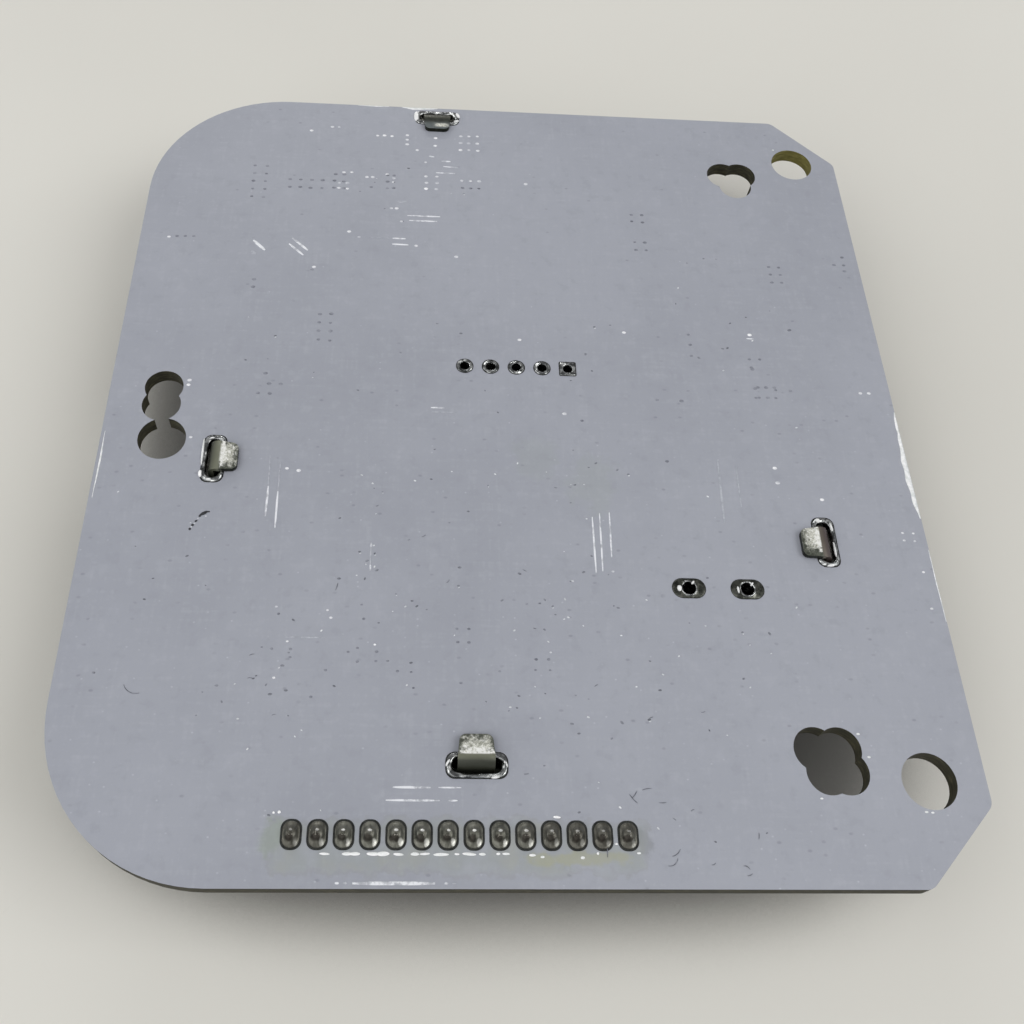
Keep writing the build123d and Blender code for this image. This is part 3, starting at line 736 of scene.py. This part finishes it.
def mask_window(shape, middle, half_x, half_y, corner, gap):
    """The ring of bare laminate, as wide as the gap, between a mask opening and the metal inside it, painted
    near black as the shade in the gap.
    """
    under = gap + window_lap
    outer = rounded_outline(half_x, half_y, corner)
    inner = rounded_outline(half_x - under, half_y - under, max(corner - under, 0.05))
    rings = [ring_at(middle, outer, sunk), ring_at(middle, outer, window_height),
             ring_at(middle, inner, window_height), ring_at(middle, inner, sunk)]
    shape.loft(rings, wrap=True)


def make_joints(windows):
    """Each joint: a rounded foot, a gently hollow fillet and a nub of solder over the pin's end."""
    chance = random.Random(11)
    solder = Shape()
    pin_rise = (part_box("header_pins")[1].z - board_top) / MM
    fillet_rise = pin_rise - nub_cap - nub_base
    for number, (middle, half) in enumerate(lumps("header_solder_joints")):
        mask_window(windows, middle, half.x, half.y, pad_corner, joint_gap)
        pad = rounded_outline(half.x - joint_gap, half.y - joint_gap, pad_corner - joint_gap * 0.6)
        nub = rounded_outline(nub_radius, nub_radius * 1.1, nub_radius * 0.98)
        lean = Vector((chance.uniform(-0.04, 0.04), chance.uniform(-0.03, 0.06), 0))
        rings = [ring_at(middle, pad, 0.0)]
        uneven = wavy(len(pad), number, joint_waves, 0.02)
        for share, height in foot_profile:
            rings.append(ring_at(middle, blend_outlines(pad, nub, share), [height + u for u in uneven]))
        for step in range(2, fillet_steps + 1):
            share = step / fillet_steps
            height = fillet_foot + fillet_rise * share ** fillet_hollow
            dents = wavy(len(pad), number + step * 0.02, joint_waves, 0.03 * (1 - share))
            outline = blend_outlines(pad, nub, share)
            rings.append(ring_at(middle + lean * share, outline, [height + d for d in dents]))
        for step in range(1, cap_steps + 1):
            angle = cap_start + (cap_end - cap_start) * step / cap_steps
            shrink = math.cos(angle) / math.cos(cap_start)
            drop = nub_cap * (1 - math.sin(angle)) / (1 - math.sin(cap_start))
            outline = [(x * shrink, y * shrink) for x, y in nub]
            rings.append(ring_at(middle + lean, outline, pin_rise + solder_over_pin - drop))
        solder.loft(rings)
    solder.piece("header_joint_solder", joint_solder, "solder", stands_for=["header_solder_joints"])


# ---------------- lands and rims
barrel_wall = 0.03

# share of the way from a ring's outer edge to its hole, and the height there
signal_profile = ((0.0, 0.02), (0.14, 0.055), (0.45, 0.05), (0.70, 0.07), (0.88, 0.10), (1.0, 0.04))
power_profile = ((0.0, 0.02), (0.08, 0.035), (0.60, 0.03), (0.76, 0.06), (0.90, 0.11), (1.0, 0.04))
collar_profile = ((0.0, 0.02), (0.25, 0.08), (0.55, 0.13), (0.85, 0.10), (1.0, 0.02))
rim_profile = ((0.0, 0.03), (0.12, 0.11), (0.34, 0.17), (0.58, 0.18), (0.82, 0.12), (1.0, 0.0))


def bead_ring(shape, middle, outer, inner, profile, seed, depth):
    """A tinned ring of the given profile, uneven by the depth, with plating down the wall of its hole."""
    rings = [ring_at(middle, outer, 0.0)]
    for share, height in profile:
        swell = depth * math.sin(math.pi * (0.08 + 0.84 * share))
        waves = wavy(len(outer), seed + share * 0.4, 1.8, swell)
        rings.append(ring_at(middle, blend_outlines(outer, inner, share), [height + w for w in waves]))
    rings.append(ring_at(middle, inner, -board_thick))
    wall = [(x + (barrel_wall if x > 0 else -barrel_wall), y + (barrel_wall if y > 0 else -barrel_wall))
            for x, y in inner]
    rings.append(ring_at(middle, wall, -board_thick))
    rings.append(ring_at(middle, wall, 0.0))
    shape.loft(rings, wrap=True)


def make_lands(windows):
    signal = Shape()
    signal_lands = lumps("signal_hole_lands")
    hole, gap, square_corner = 0.465, 0.08, 0.14
    for number, (middle, half) in enumerate(signal_lands):
        is_square = number == len(signal_lands) - 1
        corner = square_corner if is_square else half.x * round_share
        metal_corner = square_corner - gap / 2 if is_square else (half.x - gap) * round_share
        outer = rounded_outline(half.x - gap, half.y - gap, metal_corner)
        mask_window(windows, middle, half.x, half.y, corner, gap)
        bead_ring(signal, middle, outer, round_outline(hole), signal_profile, number + 20, 0.11)
    signal.piece("signal_hole_tin", rim_solder, "solder", stands_for=["signal_hole_lands"])

    power, collars = Shape(), Shape()
    hole, gap, collar, lip = 0.62, 0.06, 0.16, 0.03
    for number, (middle, half) in enumerate(lumps("power_hole_lands")):
        outer = rounded_outline(half.x - gap, half.y - gap, (half.y - gap) * round_share)
        mask_window(windows, middle, half.x, half.y, half.y * round_share, gap)
        bead_ring(power, middle, outer, round_outline(hole), power_profile, number + 40, 0.03)
        throat = rounded_outline(hole - lip, hole - lip, hole * 0.94)
        bead_ring(collars, middle, round_outline(hole + collar), throat, collar_profile, number + 50, 0.12)
    power.piece("power_hole_tin", land_tin, "solder", stands_for=["power_hole_lands"])
    collars.piece("power_hole_collars", rim_solder, "solder")


def make_rims(windows):
    """Wavy beads of solder round the slots of the shield's lock tabs."""
    rims = Shape()
    side_gap, end_gap, slot_corner, rim_corner, gap = 0.48, 0.555, 0.52, 0.75, 0.08
    for number, (middle, half) in enumerate(lumps("shield_slot_rims")):
        gap_x, gap_y = (end_gap, side_gap) if half.x > half.y else (side_gap, end_gap)
        outer = rounded_outline(half.x - gap, half.y - gap, rim_corner - gap / 2, quarter=22)
        inner = rounded_outline(half.x - gap_x, half.y - gap_y, slot_corner, quarter=22)
        mask_window(windows, middle, half.x, half.y, rim_corner, gap)
        bead_ring(rims, middle, outer, inner, rim_profile, number + 60, 0.20)
    rims.piece("slot_rim_solder", rim_solder, "solder", stands_for=["shield_slot_rims"])


# near-white drops on the rims and lands, painted highlights of the solder: middle, reach along x and y, turn
glint_drops = [
    (-28.55, -4.6, 0.12, 1.5, 0.02), (-28.5, -6.9, 0.22, 0.38, 0.1), (-27.7, -7.5, 0.28, 0.13, 0.1),
    (-27.8, -3.15, 0.3, 0.13, 0.1), (28.0, -10.3, 0.3, 0.24, 0.4), (29.2, -11.0, 0.13, 0.55, 0.1),
    (29.15, -13.2, 0.12, 0.9, 0.0), (28.5, -14.8, 0.4, 0.14, 0.1), (-9.8, 40.75, 0.32, 0.8, 0.0),
    (-5.1, 41.1, 0.22, 0.42, 0.4), (-5.3, 40.1, 0.4, 0.16, 0.5), (-5.95, -32.75, 0.13, 0.36, -0.5),
    (-1.35, -32.8, 0.13, 0.34, 0.5), (-2.2, -33.9, 0.36, 0.1, 0.1), (14.4, -17.3, 0.22, 0.3, 0.0),
    (15.65, -16.75, 0.12, 0.2, -0.7), (19.65, -17.35, 0.1, 0.34, 0.1), (20.95, -16.8, 0.1, 0.22, -0.6),
]


def make_glint_drops():
    drops = Shape()
    foot, top = 0.03, 0.22
    for x, y, reach_x, reach_y, turn in glint_drops:
        dome(drops, x, y, reach_x, reach_y, top, turn, sides=16, base=foot)
    drops.piece("glint_drops", glint_solder, "solder")


# ---------------- copper under the mask
track_height = 0.035
track_shoulder = 0.04

# the mask lies wider over a track than the copper's own width
mask_spread = 1.35
via_radius = 0.20

# vias whose y is below this are smaller, by this share
near_part = -10.0
near_share = 0.68


def strip(shape, start, end, width):
    """A low raised track along a straight line of the board, narrower at both ends."""
    parts = 4
    way = (end - start).normalized()
    rings = []
    for i in range(parts + 1):
        x, y = start.lerp(end, i / parts)
        half = width / 2 * (0.6 if i in (0, parts) else 1.0)
        brow = half - track_shoulder
        section = ((half, sunk), (brow, track_height), (-brow, track_height), (-half, sunk))
        rings.append([on_board(x - way.y * s, y + way.x * s, z) for s, z in section])
    shape.loft(rings)


def dome(shape, x, y, reach_x, reach_y, height, turn=0.0, sides=10, base=sunk):
    """A low drop lying on the mask, or on whatever stands as high as its base."""
    rings = []
    for share, rise in ((1.0, 0.0), (0.90, 0.45), (0.62, 0.85), (0.25, 1.0)):
        lift = base + (height - base) * rise
        ring = []
        for k in range(sides):
            angle = math.tau * k / sides
            a, b = math.cos(angle) * reach_x * share, math.sin(angle) * reach_y * share
            ring.append(on_board(x + a * math.cos(turn) - b * math.sin(turn),
                                 y + a * math.sin(turn) + b * math.cos(turn), lift))
        rings.append(ring)
    shape.loft(rings)


# edges of copper with a painted glint: ends and width
bright_tracks = [
    (-10.3, -34.7, -7.3, -34.7, 0.16), (-6.7, -34.7, -4.9, -34.7, 0.11),
    (-10.8, -35.7, -6.6, -35.7, 0.14), (-5.9, -35.7, -5.2, -35.7, 0.12),
    (-13.1, -41.8, -6.9, -41.8, 0.22), (-14.4, -41.8, -14.1, -41.8, 0.14),
    (-13.8, -41.8, -13.5, -41.8, 0.14), (-6.2, -41.8, -5.9, -41.8, 0.14),
    (-5.6, -41.8, -5.3, -41.8, 0.12), (-10.5, 25.5, -7.0, 25.5, 0.15), (-10.3, 24.8, -7.3, 24.8, 0.15),
    (-12.0, 22.2, -10.6, 22.2, 0.16), (-12.0, 21.4, -10.3, 21.35, 0.16),
    (-22.3, -8.0, -22.3, -11.1, 0.16), (-21.4, -8.5, -21.35, -12.2, 0.15),
    (7.1, -10.4, 7.1, -16.0, 0.14), (7.8, -10.0, 7.7, -15.8, 0.13), (8.7, -9.9, 8.6, -14.4, 0.13),
    (-12.8, -13.5, -12.8, -13.9, 0.16), (-12.8, -15.6, -12.8, -16.2, 0.14),
    (-6.7, 33.0, -5.1, 32.9, 0.12), (-8.3, 34.5, -7.7, 34.4, 0.14), (-7.5, 32.0, -5.4, 32.0, 0.13),
    (-6.9, 33.8, -5.9, 33.8, 0.16), (-22.7, 20.9, -21.1, 19.4, 0.2), (-22.4, 21.7, -20.7, 20.1, 0.22),
    (-26.4, 21.2, -25.1, 19.9, 0.26), (-7.7, 1.0, -6.4, 1.0, 0.14), (24.3, 10.5, 25.1, 10.5, 0.12),
]

# edges of copper with a faint painted glint, that only just show
soft_tracks = [
    (-12.8, -13.9, -12.8, -15.6, 0.12), (19.5, -4.0, 19.3, -10.7, 0.16),
    (-11.6, 27.4, -10.6, 27.5, 0.24), (-22.4, -4.8, -22.3, -8.0, 0.12),
    (-21.4, -5.5, -21.4, -8.5, 0.12), (-7.6, 0.5, -5.2, 0.5, 0.12), (-26.5, 19.7, -26.0, 19.3, 0.3),
    (-19.6, -22.4, -16.3, -22.4, 0.12), (-14.6, 22.2, -12.4, 22.2, 0.1), (21.2, -4.5, 21.1, -9.0, 0.12),
]

# tented vias painted as dark dots, the shade of their dimples: the lower left one and, where it
# starts an array, the array's columns, rows, spacing across and spacing along
dark_vias = [
    (-27.2, 27.4, 2, 5, 1.25, 1.13), (-23.3, 29.0, 4, 2, 1.15, 1.12), (-18.5, 29.1, 2, 3, 1.0, 1.05),
    (-18.9, 8.6, 2, 4, 1.12, 1.08), (-23.2, 3.2, 2, 1, 1.07), (-24.2, 2.05, 2, 1, 1.15),
    (13.85, 25.9, 2, 2, 1.15, 1.05), (13.95, 21.85, 2, 2, 1.07, 1.1), (28.15, 18.05, 2, 3, 1.05, 1.05),
    (35.4, 20.8, 2, 1, 1.0), (36.4, 20.0, 1, 2, 1.0, 1.9), (24.3, 7.9, 2, 1, 1.0),
    (24.3, 3.2, 1, 2, 1.0, 1.15), (26.4, 4.2, 2, 1, 1.5), (24.35, 6.85), (29.0, 11.7),
    (-25.9, 15.0, 1, 2, 1.0, 1.0), (-4.6, 29.87, 3, 1, 0.93), (-12.8, 29.4, 2, 3, 0.68, 0.95),
    (-14.5, 29.4), (-34.3, 21.4, 3, 1, 0.85), (-23.7, 4.45), (17.0, -16.2),
    (18.4, 8.1, 1, 3, 1.0, 1.35), (14.4, 2.6, 2, 1, 2.4), (29.05, 11.8), (24.4, 6.7),
    (24.6, 3.3, 3, 2, 0.85, 1.2), (14.6, -4.3), (-20.1, 17.5), (6.8, 0.0),
    (-5.2, -22.6, 2, 2, 0.95, 1.15), (-10.2, -25.25, 2, 1, 1.15), (0.8, -19.0, 2, 1, 1.2),
    (1.4, -25.0, 2, 2, 1.15, 0.95), (-20.7, -23.4, 2, 1, 1.55), (-19.1, -24.2), (-14.3, -23.6),
    (-13.55, -24.45, 1, 2, 1.0, 1.2), (-11.95, -24.4, 1, 2, 1.0, 0.8), (-13.4, -19.4), (-13.15, -20.65),
    (-16.15, -25.2), (-8.85, -26.7), (-4.9, -26.2), (-1.65, -25.1), (-20.35, -20.3), (-17.2, -27.5),
]

# vias and other bumps with a painted white glint
bright_vias = [
    (-21.5, 37.7), (-19.2, 38.5, 2, 1, 0.75), (-14.1, 37.4, 3, 1, 0.8), (-10.8, 36.2, 1, 3, 1.0, 0.7),
    (-7.6, 36.2, 1, 2, 1.0, 1.15), (-4.75, 35.7, 3, 3, 0.94, 1.1), (-4.65, 31.0, 3, 1, 0.94),
    (-8.55, 29.5, 2, 3, 1.14, 0.94), (-15.0, 30.9, 2, 1, 0.62), (-12.8, 31.4),
    (-12.1, 30.3, 1, 2, 1.0, 0.6), (-9.6, 35.4), (-8.7, 33.5), (-17.6, 31.5, 2, 1, 0.9),
    (-18.0, 29.9, 2, 2, 0.9, -0.8), (-12.2, 26.5, 2, 1, 0.5), (-11.1, 24.6), (-16.6, 22.9),
    (-15.5, 22.2), (-9.5, 21.3), (-35.1, 21.3), (35.85, -12.15, 2, 2, 1.02, 0.8), (36.95, -15.2),
    (36.9, -18.8), (28.9, -8.0), (1.1, 9.4), (8.6, -15.8), (24.9, -6.3, 1, 2, 1.0, 1.6), (35.0, 4.2),
    (35.8, 4.2), (-5.3, 20.0), (2.4, 30.8), (-19.95, 17.9), (-30.8, 3.3, 1, 2, 1.0, -0.5),
    (-29.8, -3.0), (-20.75, -6.1), (-19.7, -6.3), (11.75, 10.75), (5.15, 0.75), (24.7, 11.0),
    (-20.6, -19.7), (-16.2, -19.9), (-15.9, -20.6), (-19.4, -22.75), (-20.25, -25.9), (-12.1, -22.95),
    (2.75, -23.4),
]


def via_places(x, y, columns=1, rows=1, across=1.0, along=1.0):
    """Where the vias of an array are, row by row, or the place of a single one."""
    return [(x + i % columns * across, y + i // columns * along) for i in range(columns * rows)]


def make_copper():
    for name, rows, finish in (("copper_tracks_painted_glint", bright_tracks, track_glint),
                               ("sunken_tracks_faint_glint", soft_tracks, faint_glint_mask)):
        lines = Shape()
        for start_x, start_y, end_x, end_y, width in rows:
            strip(lines, Vector((start_x, start_y)), Vector((end_x, end_y)), width * mask_spread)
        lines.piece(name, finish, "board_mask", smooth=False)

    chance = random.Random(3)
    for name, arrays, finish in (("tented_vias", dark_vias, via_shade),
                                 ("via_glints", bright_vias, via_shine)):
        vias = Shape()
        for array in arrays:
            share = near_share if array[1] < near_part else 1.0
            for x, y in via_places(*array):
                size = via_radius * chance.uniform(0.75, 1.1) * share
                x += chance.uniform(-0.05, 0.05)
                y += chance.uniform(-0.05, 0.05)
                dome(vias, x, y, size * 1.15, size * 0.85, track_height)
        vias.piece(name, finish, "board_mask")


# ---------------- dust and marks
def fibre(shape, x, y, heading, length, bend, radius, steps=6):
    """A curled hair lying on the mask."""
    sides = 5
    rings = []
    for step in range(steps + 1):
        turn = heading + bend * (step / steps - 0.5)
        if step:
            x += math.cos(turn) * length / steps
            y += math.sin(turn) * length / steps
        thick = radius * (0.45 + 0.55 * math.sin(math.pi * step / steps))
        ring = []
        for k in range(sides):
            roll = math.tau * k / sides
            offset = math.cos(roll) * thick
            height = radius * 0.6 + math.sin(roll) * thick * 0.8
            ring.append(on_board(x - math.sin(turn) * offset, y + math.cos(turn) * offset, height))
        rings.append(ring)
    shape.loft(rings)


# specks of dust lie thicker in some places: middle, spread along x and y, how many
dust_drifts = [
    (-11.0, -18.0, 8.0, 5.5, 30), (6.0, -19.5, 8.0, 4.0, 25), (-9.0, -8.0, 7.0, 4.0, 13),
    (6.0, -6.0, 4.0, 3.5, 13), (-22.0, -27.0, 9.0, 5.0, 23), (2.0, -28.0, 11.0, 4.0, 23),
    (-30.0, -14.0, 4.0, 5.0, 6), (16.0, -25.0, 8.0, 6.0, 12), (24.0, -16.0, 6.0, 6.0, 8),
    (-8.0, 4.0, 12.0, 8.0, 10), (10.0, 8.0, 12.0, 8.0, 10), (22.0, 12.0, 8.0, 9.0, 12),
    (0.0, -37.0, 17.0, 1.6, 25), (-27.0, 10.0, 6.0, 9.0, 5), (-10.0, 30.0, 9.0, 4.0, 8),
]

# places where dust would lie over a hole or on metal: middle and half size
bare_places = [
    (-33.0, 0.0, 3.0, 6.6), (25.6, 33.0, 3.4, 3.0), (*far_hole, 2.6, 2.6), (25.3, -32.3, 4.2, 3.6),
    (33.2, -33.9, 2.6, 2.6), (-27.0, -5.2, 3.6, 3.2), (27.6, -12.4, 3.6, 3.2), (-3.7, -32.6, 3.2, 3.4),
    (-7.5, 40.2, 3.2, 3.4), (-4.9, -38.3, 14.6, 1.7), (17.9, -17.3, 4.6, 1.6), (-0.7, 7.6, 6.6, 1.4),
]


# the lines across the cut corners on the right and the round ones on the left, as x + |y| and |y| - x
cut_corner = 73.0
round_corner = 69.0


def lies_bare(x, y):
    """Whether a speck here would hang over an edge or a hole, or lie on metal."""
    over_hole = any(abs(x - bx) < hx and abs(y - by) < hy for bx, by, hx, hy in bare_places)
    off_edge = abs(x) > edge_x - 1.0 or abs(y) > edge_y - 0.8
    off_corner = x + abs(y) > cut_corner or abs(y) - x > round_corner
    return over_hole or off_edge or off_corner


# loose hairs: middle, heading, length and bend
loose_hairs = [
    (-32.25, -26.7, -0.55, 1.65, 1.5), (8.45, -35.1, -0.9, 0.9, 0.4), (8.65, -35.4, 0.9, 0.7, 0.4),
    (9.5, -34.8, 0.2, 0.8, -0.6), (10.75, -35.75, 0.0, 0.6, 0.3), (11.0, -40.5, 0.5, 1.1, 1.6),
    (11.4, -39.8, 0.6, 0.9, 1.0), (14.4, -40.4, 0.3, 0.4, 1.5), (16.9, -40.5, -0.4, 0.6, -1.5),
    (17.1, -41.2, 0.3, 0.5, 1.0), (18.4, -38.5, 1.4, 0.5, 0.4), (0.1, -33.6, 0.1, 0.4, 0.5),
    (6.35, -39.9, 1.55, 1.0, 0.1), (-15.7, -18.1, 1.3, 0.7, 0.3),
]
hair_radius = 0.035

# a scuff left of the middle: burnt crumbs, with reach along x and y and turn, and pale flecks between them
scuff_crumbs = [
    (-27.7, -10.9, 0.42, 0.17, 0.55), (-28.0, -11.15, 0.2, 0.12, 0.9), (-28.3, -11.7, 0.15, 0.10, 0.7),
    (-28.55, -12.1, 0.14, 0.13, 0.0), (-28.75, -12.5, 0.12, 0.14, 0.3), (-27.3, -10.75, 0.12, 0.08, 0.2),
]
scuff_flecks = [(-28.15, -11.45), (-28.4, -11.95), (-28.65, -12.3), (-28.75, -11.9), (-27.5, -11.2)]


def make_dust():
    """Specks by chance: most of them dark, some pale (dust with painted glints among it), some hairs, and a
    few dark ones with a painted glint beside them.
    """
    chance = random.Random(5)
    dark, pale, burnt = Shape(), Shape(), Shape()
    dark_share, pale_share, hair_share = 0.52, 0.32, 0.10
    dark_height, pale_height = 0.02, 0.03
    for drift_x, drift_y, spread_x, spread_y, count in dust_drifts:
        for _ in range(count):
            x, y = chance.gauss(drift_x, spread_x * 0.6), chance.gauss(drift_y, spread_y * 0.6)
            kind, turn, size = chance.random(), chance.gauss(0.0, 0.5), chance.uniform(0.05, 0.12)
            if lies_bare(x, y):
                continue
            if kind < dark_share:
                dome(dark, x, y, size * 1.7, size, dark_height, turn, sides=8)
            elif kind < dark_share + pale_share:
                dome(pale, x, y, size * 1.2, size * 0.7, pale_height, turn, sides=8)
            elif kind < dark_share + pale_share + hair_share:
                fibre(dark, x, y, turn, chance.uniform(0.25, 0.5), chance.uniform(-1.5, 1.5), 0.03)
            else:
                # a dark speck with a painted glint beside it
                dome(dark, x, y, size * 1.6, size, dark_height, turn, sides=8)
                dome(pale, x + 0.05, y - 0.16, size, size * 0.6, pale_height, turn, sides=8)
    for x, y, reach_x, reach_y, turn in scuff_crumbs:
        dome(burnt, x, y, reach_x, reach_y, 0.05, turn)
    for x, y in scuff_flecks:
        dome(pale, x, y, 0.09, 0.06, 0.04)
    for x, y, heading, length, bend in loose_hairs:
        fibre(dark, x, y, heading, length, bend, hair_radius, steps=9)
    dark.piece("dark_dust", dark_speck, "board_mask")
    pale.piece("pale_flecks_and_glints", pale_fleck_glint, "board_mask")
    burnt.piece("scuff_crumbs", scorch, "board_mask")


# a run of flux has a bead about this often
lobe_length = 0.8

# beads of flux below and above the header joints, coloured as painted highlights: left end, right end, y and
# half width
flux_runs = [
    (-15.6, -15.0, -39.7, 0.1), (-13.9, -12.7, -39.72, 0.16), (-12.0, -10.5, -39.7, 0.17),
    (-10.0, -9.4, -39.7, 0.12), (-8.7, -8.2, -39.7, 0.11), (-8.0, -7.4, -39.7, 0.1),
    (-6.9, -6.0, -39.7, 0.13), (-4.7, -3.9, -39.7, 0.12), (-3.5, -3.1, -39.68, 0.12),
    (-2.2, -1.95, -39.68, 0.11), (-1.7, -1.25, -39.68, 0.11), (0.35, 0.75, -39.75, 0.12),
    (1.2, 1.45, -39.9, 0.11), (4.3, 4.55, -39.9, 0.11), (2.35, 2.8, -36.9, 0.12),
    (-19.45, -19.3, -36.7, 0.12), (-19.05, -18.85, -36.65, 0.1), (5.55, 5.7, -39.6, 0.1),
    (7.0, 7.2, -38.9, 0.09), (8.7, 8.95, -39.6, 0.1), (-5.4, -5.1, -39.7, 0.09),
]


def make_flux():
    chance = random.Random(9)
    flux = Shape()
    for left, right, y, half_width in flux_runs:
        lobes = max(1, round((right - left) / lobe_length))
        length = (right - left) / lobes
        for i in range(lobes):
            x = left + length * (i + 0.5)
            lobe_y = y + chance.uniform(-0.03, 0.03)
            reach_y = half_width * chance.uniform(0.9, 1.3)
            dome(flux, x, lobe_y, length * 0.70, reach_y, 0.07, chance.uniform(-0.08, 0.08), sides=14)
    flux.piece("flux_highlight_beads", flux_highlight_bead, "board_mask")


# ---------------- chipped edges and their painted highlights
# how far inside the board's edge the chips start, and how much further on the left
edge_inset = 0.02
left_inset = 0.28
chip_step = 0.22

# nicks at the rims of the holes and cut corners, near white, partly painted highlights: middle and size
rim_nicks_and_glints = [
    (28.0, -30.1, 0.16), (28.55, -32.0, 0.16), (24.0, -35.35, 0.14), (32.4, -36.35, 0.16),
    (32.9, -36.4, 0.14), (31.3, 37.85, 0.14),
]


def chipped_strip(shape, start, end, inward, width, seed):
    """A ragged sliver along an edge of the board, widest in its middle: bared laminate, painted near white as
    a highlight of the edge.
    """
    first, last = Vector(start), Vector(end)
    steps = max(6, int((last - first).length / chip_step))
    rings = []
    for i in range(steps + 1):
        share = i / steps
        place = first.lerp(last, share)
        ragged = 0.85 + 0.5 * noise.noise(Vector((share * steps * 0.12, seed * 5.1, 0.0)))
        reach = max(0.05, width * math.sin(math.pi * (0.06 + 0.88 * share)) * ragged)
        inner = place + Vector(inward) * reach
        middle = place.lerp(inner, 0.5)
        section = ((place, sunk), (place, 0.015), (middle, 0.035), (inner, 0.012), (inner, sunk))
        rings.append([on_board(point.x, point.y, height) for point, height in section])
    shape.loft(rings)


def make_chips():
    chips = Shape()
    right, far = edge_x - edge_inset, edge_y - edge_inset
    left = left_inset - right
    chipped_strip(chips, (right, 0.0), (right, -9.8), (-1, 0), 0.62, 1)
    chipped_strip(chips, (right, 2.0), (right, -1.2), (-1, 0), 0.30, 2)
    chipped_strip(chips, (right, -13.0), (right, -20.0), (-1, 0), 0.10, 3)
    chipped_strip(chips, (left, -2.6), (left, -9.6), (1, 0), 0.15, 4)
    chipped_strip(chips, (-11.5, far), (-7.4, far), (0, -1), 0.34, 5)
    chipped_strip(chips, (-16.5, far), (-13.0, far), (0, -1), 0.14, 6)
    for x, y, size in rim_nicks_and_glints:
        dome(chips, x, y, size, size * 0.6, 0.05)
    chips.piece("chipped_edge_glints", chipped_edge_highlight, "board_mask")


# ---------------- stage
def make_stage():
    """A pale floor with painted shade under the board by how closed in it is, and clear from below."""
    reach, board_shade_reach = 3.0, 0.03
    mesh = bpy.data.meshes.new("floor")
    corners = [(-reach, -reach, 0), (reach, -reach, 0), (reach, reach, 0), (-reach, reach, 0)]
    mesh.from_pydata(corners, [], [(0, 1, 2, 3)])
    paper = Finish("floor_finish", Roughness=0.9)
    tone = paper.ramp(paper.noise(0.01, 2), (0.3, srgb(217, 215, 207)), (0.7, srgb(225, 223, 215)))
    closed_in = paper.add("ShaderNodeAmbientOcclusion", samples=24)
    closed_in.inputs["Distance"].default_value = board_shade_reach
    # painted shade: the floor's colour scaled down where the board closes it in
    tone = paper.vector("SCALE", tone, scale=paper.levels(closed_in.outputs["AO"], 0.34, 0.74, 0.20, 1.0))

    # only what the camera and the shiny metal see is pale: the light that the floor throws back is less
    path = paper.add("ShaderNodeLightPath").outputs
    seen = paper.plus(path["Is Camera Ray"], path["Is Glossy Ray"])
    seen = paper.math("ADD", seen, path["Is Transmission Ray"], clamp=True)
    mesh.materials.append(paper.wear(paper.mix(seen, srgb(100, 100, 100), tone)))

    # clear from below, so that the underside can be looked at
    either = paper.add("ShaderNodeMixShader")
    paper.link(paper.add("ShaderNodeNewGeometry").outputs["Backfacing"], either.inputs[0])
    paper.link(paper.shader.outputs[0], either.inputs[1])
    paper.link(paper.add("ShaderNodeBsdfTransparent").outputs[0], either.inputs[2])
    paper.link(either.outputs[0], paper.tree.nodes["Material Output"].inputs["Surface"])
    put("floor", mesh)


def area_light(name, place, size, power):
    data = bpy.data.lights.new(name, "AREA")
    data.shape = "RECTANGLE"
    data.size, data.size_y = size
    data.energy = power
    lamp = put(name, data)
    lamp.location = place
    aim = Vector((0, 0, board_top)) - Vector(place)
    lamp.rotation_euler = aim.to_track_quat("-Z", "Y").to_euler()


def make_light():
    """Two soft lamps off to the sides, low strips round the back, and a room paler near the horizon."""
    area_light("key", (0.60, -0.15, 0.72), (0.60, 0.60), 3.3)
    area_light("fill", (-0.55, -0.40, 0.66), (1.20, 1.20), 5.5)
    area_light("back_strip", (-0.15, 0.85, 0.40), (0.45, 0.08), 1.3)
    area_light("left_strip", (-0.90, 0.10, 0.28), (0.50, 0.08), 0.7)
    area_light("right_strip", (0.95, 0.05, 0.30), (0.50, 0.08), 0.45)
    world = bpy.data.worlds.new("studio")
    world.use_nodes = True
    bpy.context.scene.world = world
    room = Nodes(world.node_tree)
    background = room.tree.nodes["Background"].inputs
    background["Color"].default_value = srgb(250, 250, 252)
    height = room.part_of(room.add("ShaderNodeTexCoord").outputs["Generated"], "Z")
    room.link(room.levels(height, 0.12, 0.55, 0.45, 0.30, smooth=False), background["Strength"])


def make_camera():
    """Looks at the solder side from in front of the header, a little from the left."""
    data = bpy.data.cameras.new("camera")
    data.lens = 39.25
    data.sensor_width = 36.0
    data.shift_x, data.shift_y = 0.0347, -0.0798
    data.clip_start = 0.005
    camera = put("camera", data)
    camera.location = on_board(-10.03, -57.64, 89.23)
    camera.rotation_euler = [math.radians(a) for a in (32.178, -3.906, -0.586)]
    bpy.context.scene.camera = camera
    bpy.context.scene.view_settings.view_transform = "Standard"


dress_nodes()
mask_windows = Shape()
make_joints(mask_windows)
make_lands(mask_windows)
make_rims(mask_windows)
make_glint_drops()
mask_windows.piece("mask_windows", gap_shade_laminate, "board_mask", smooth=False)
make_copper()
make_flux()
make_dust()
make_chips()
make_stage()
make_light()
make_camera()
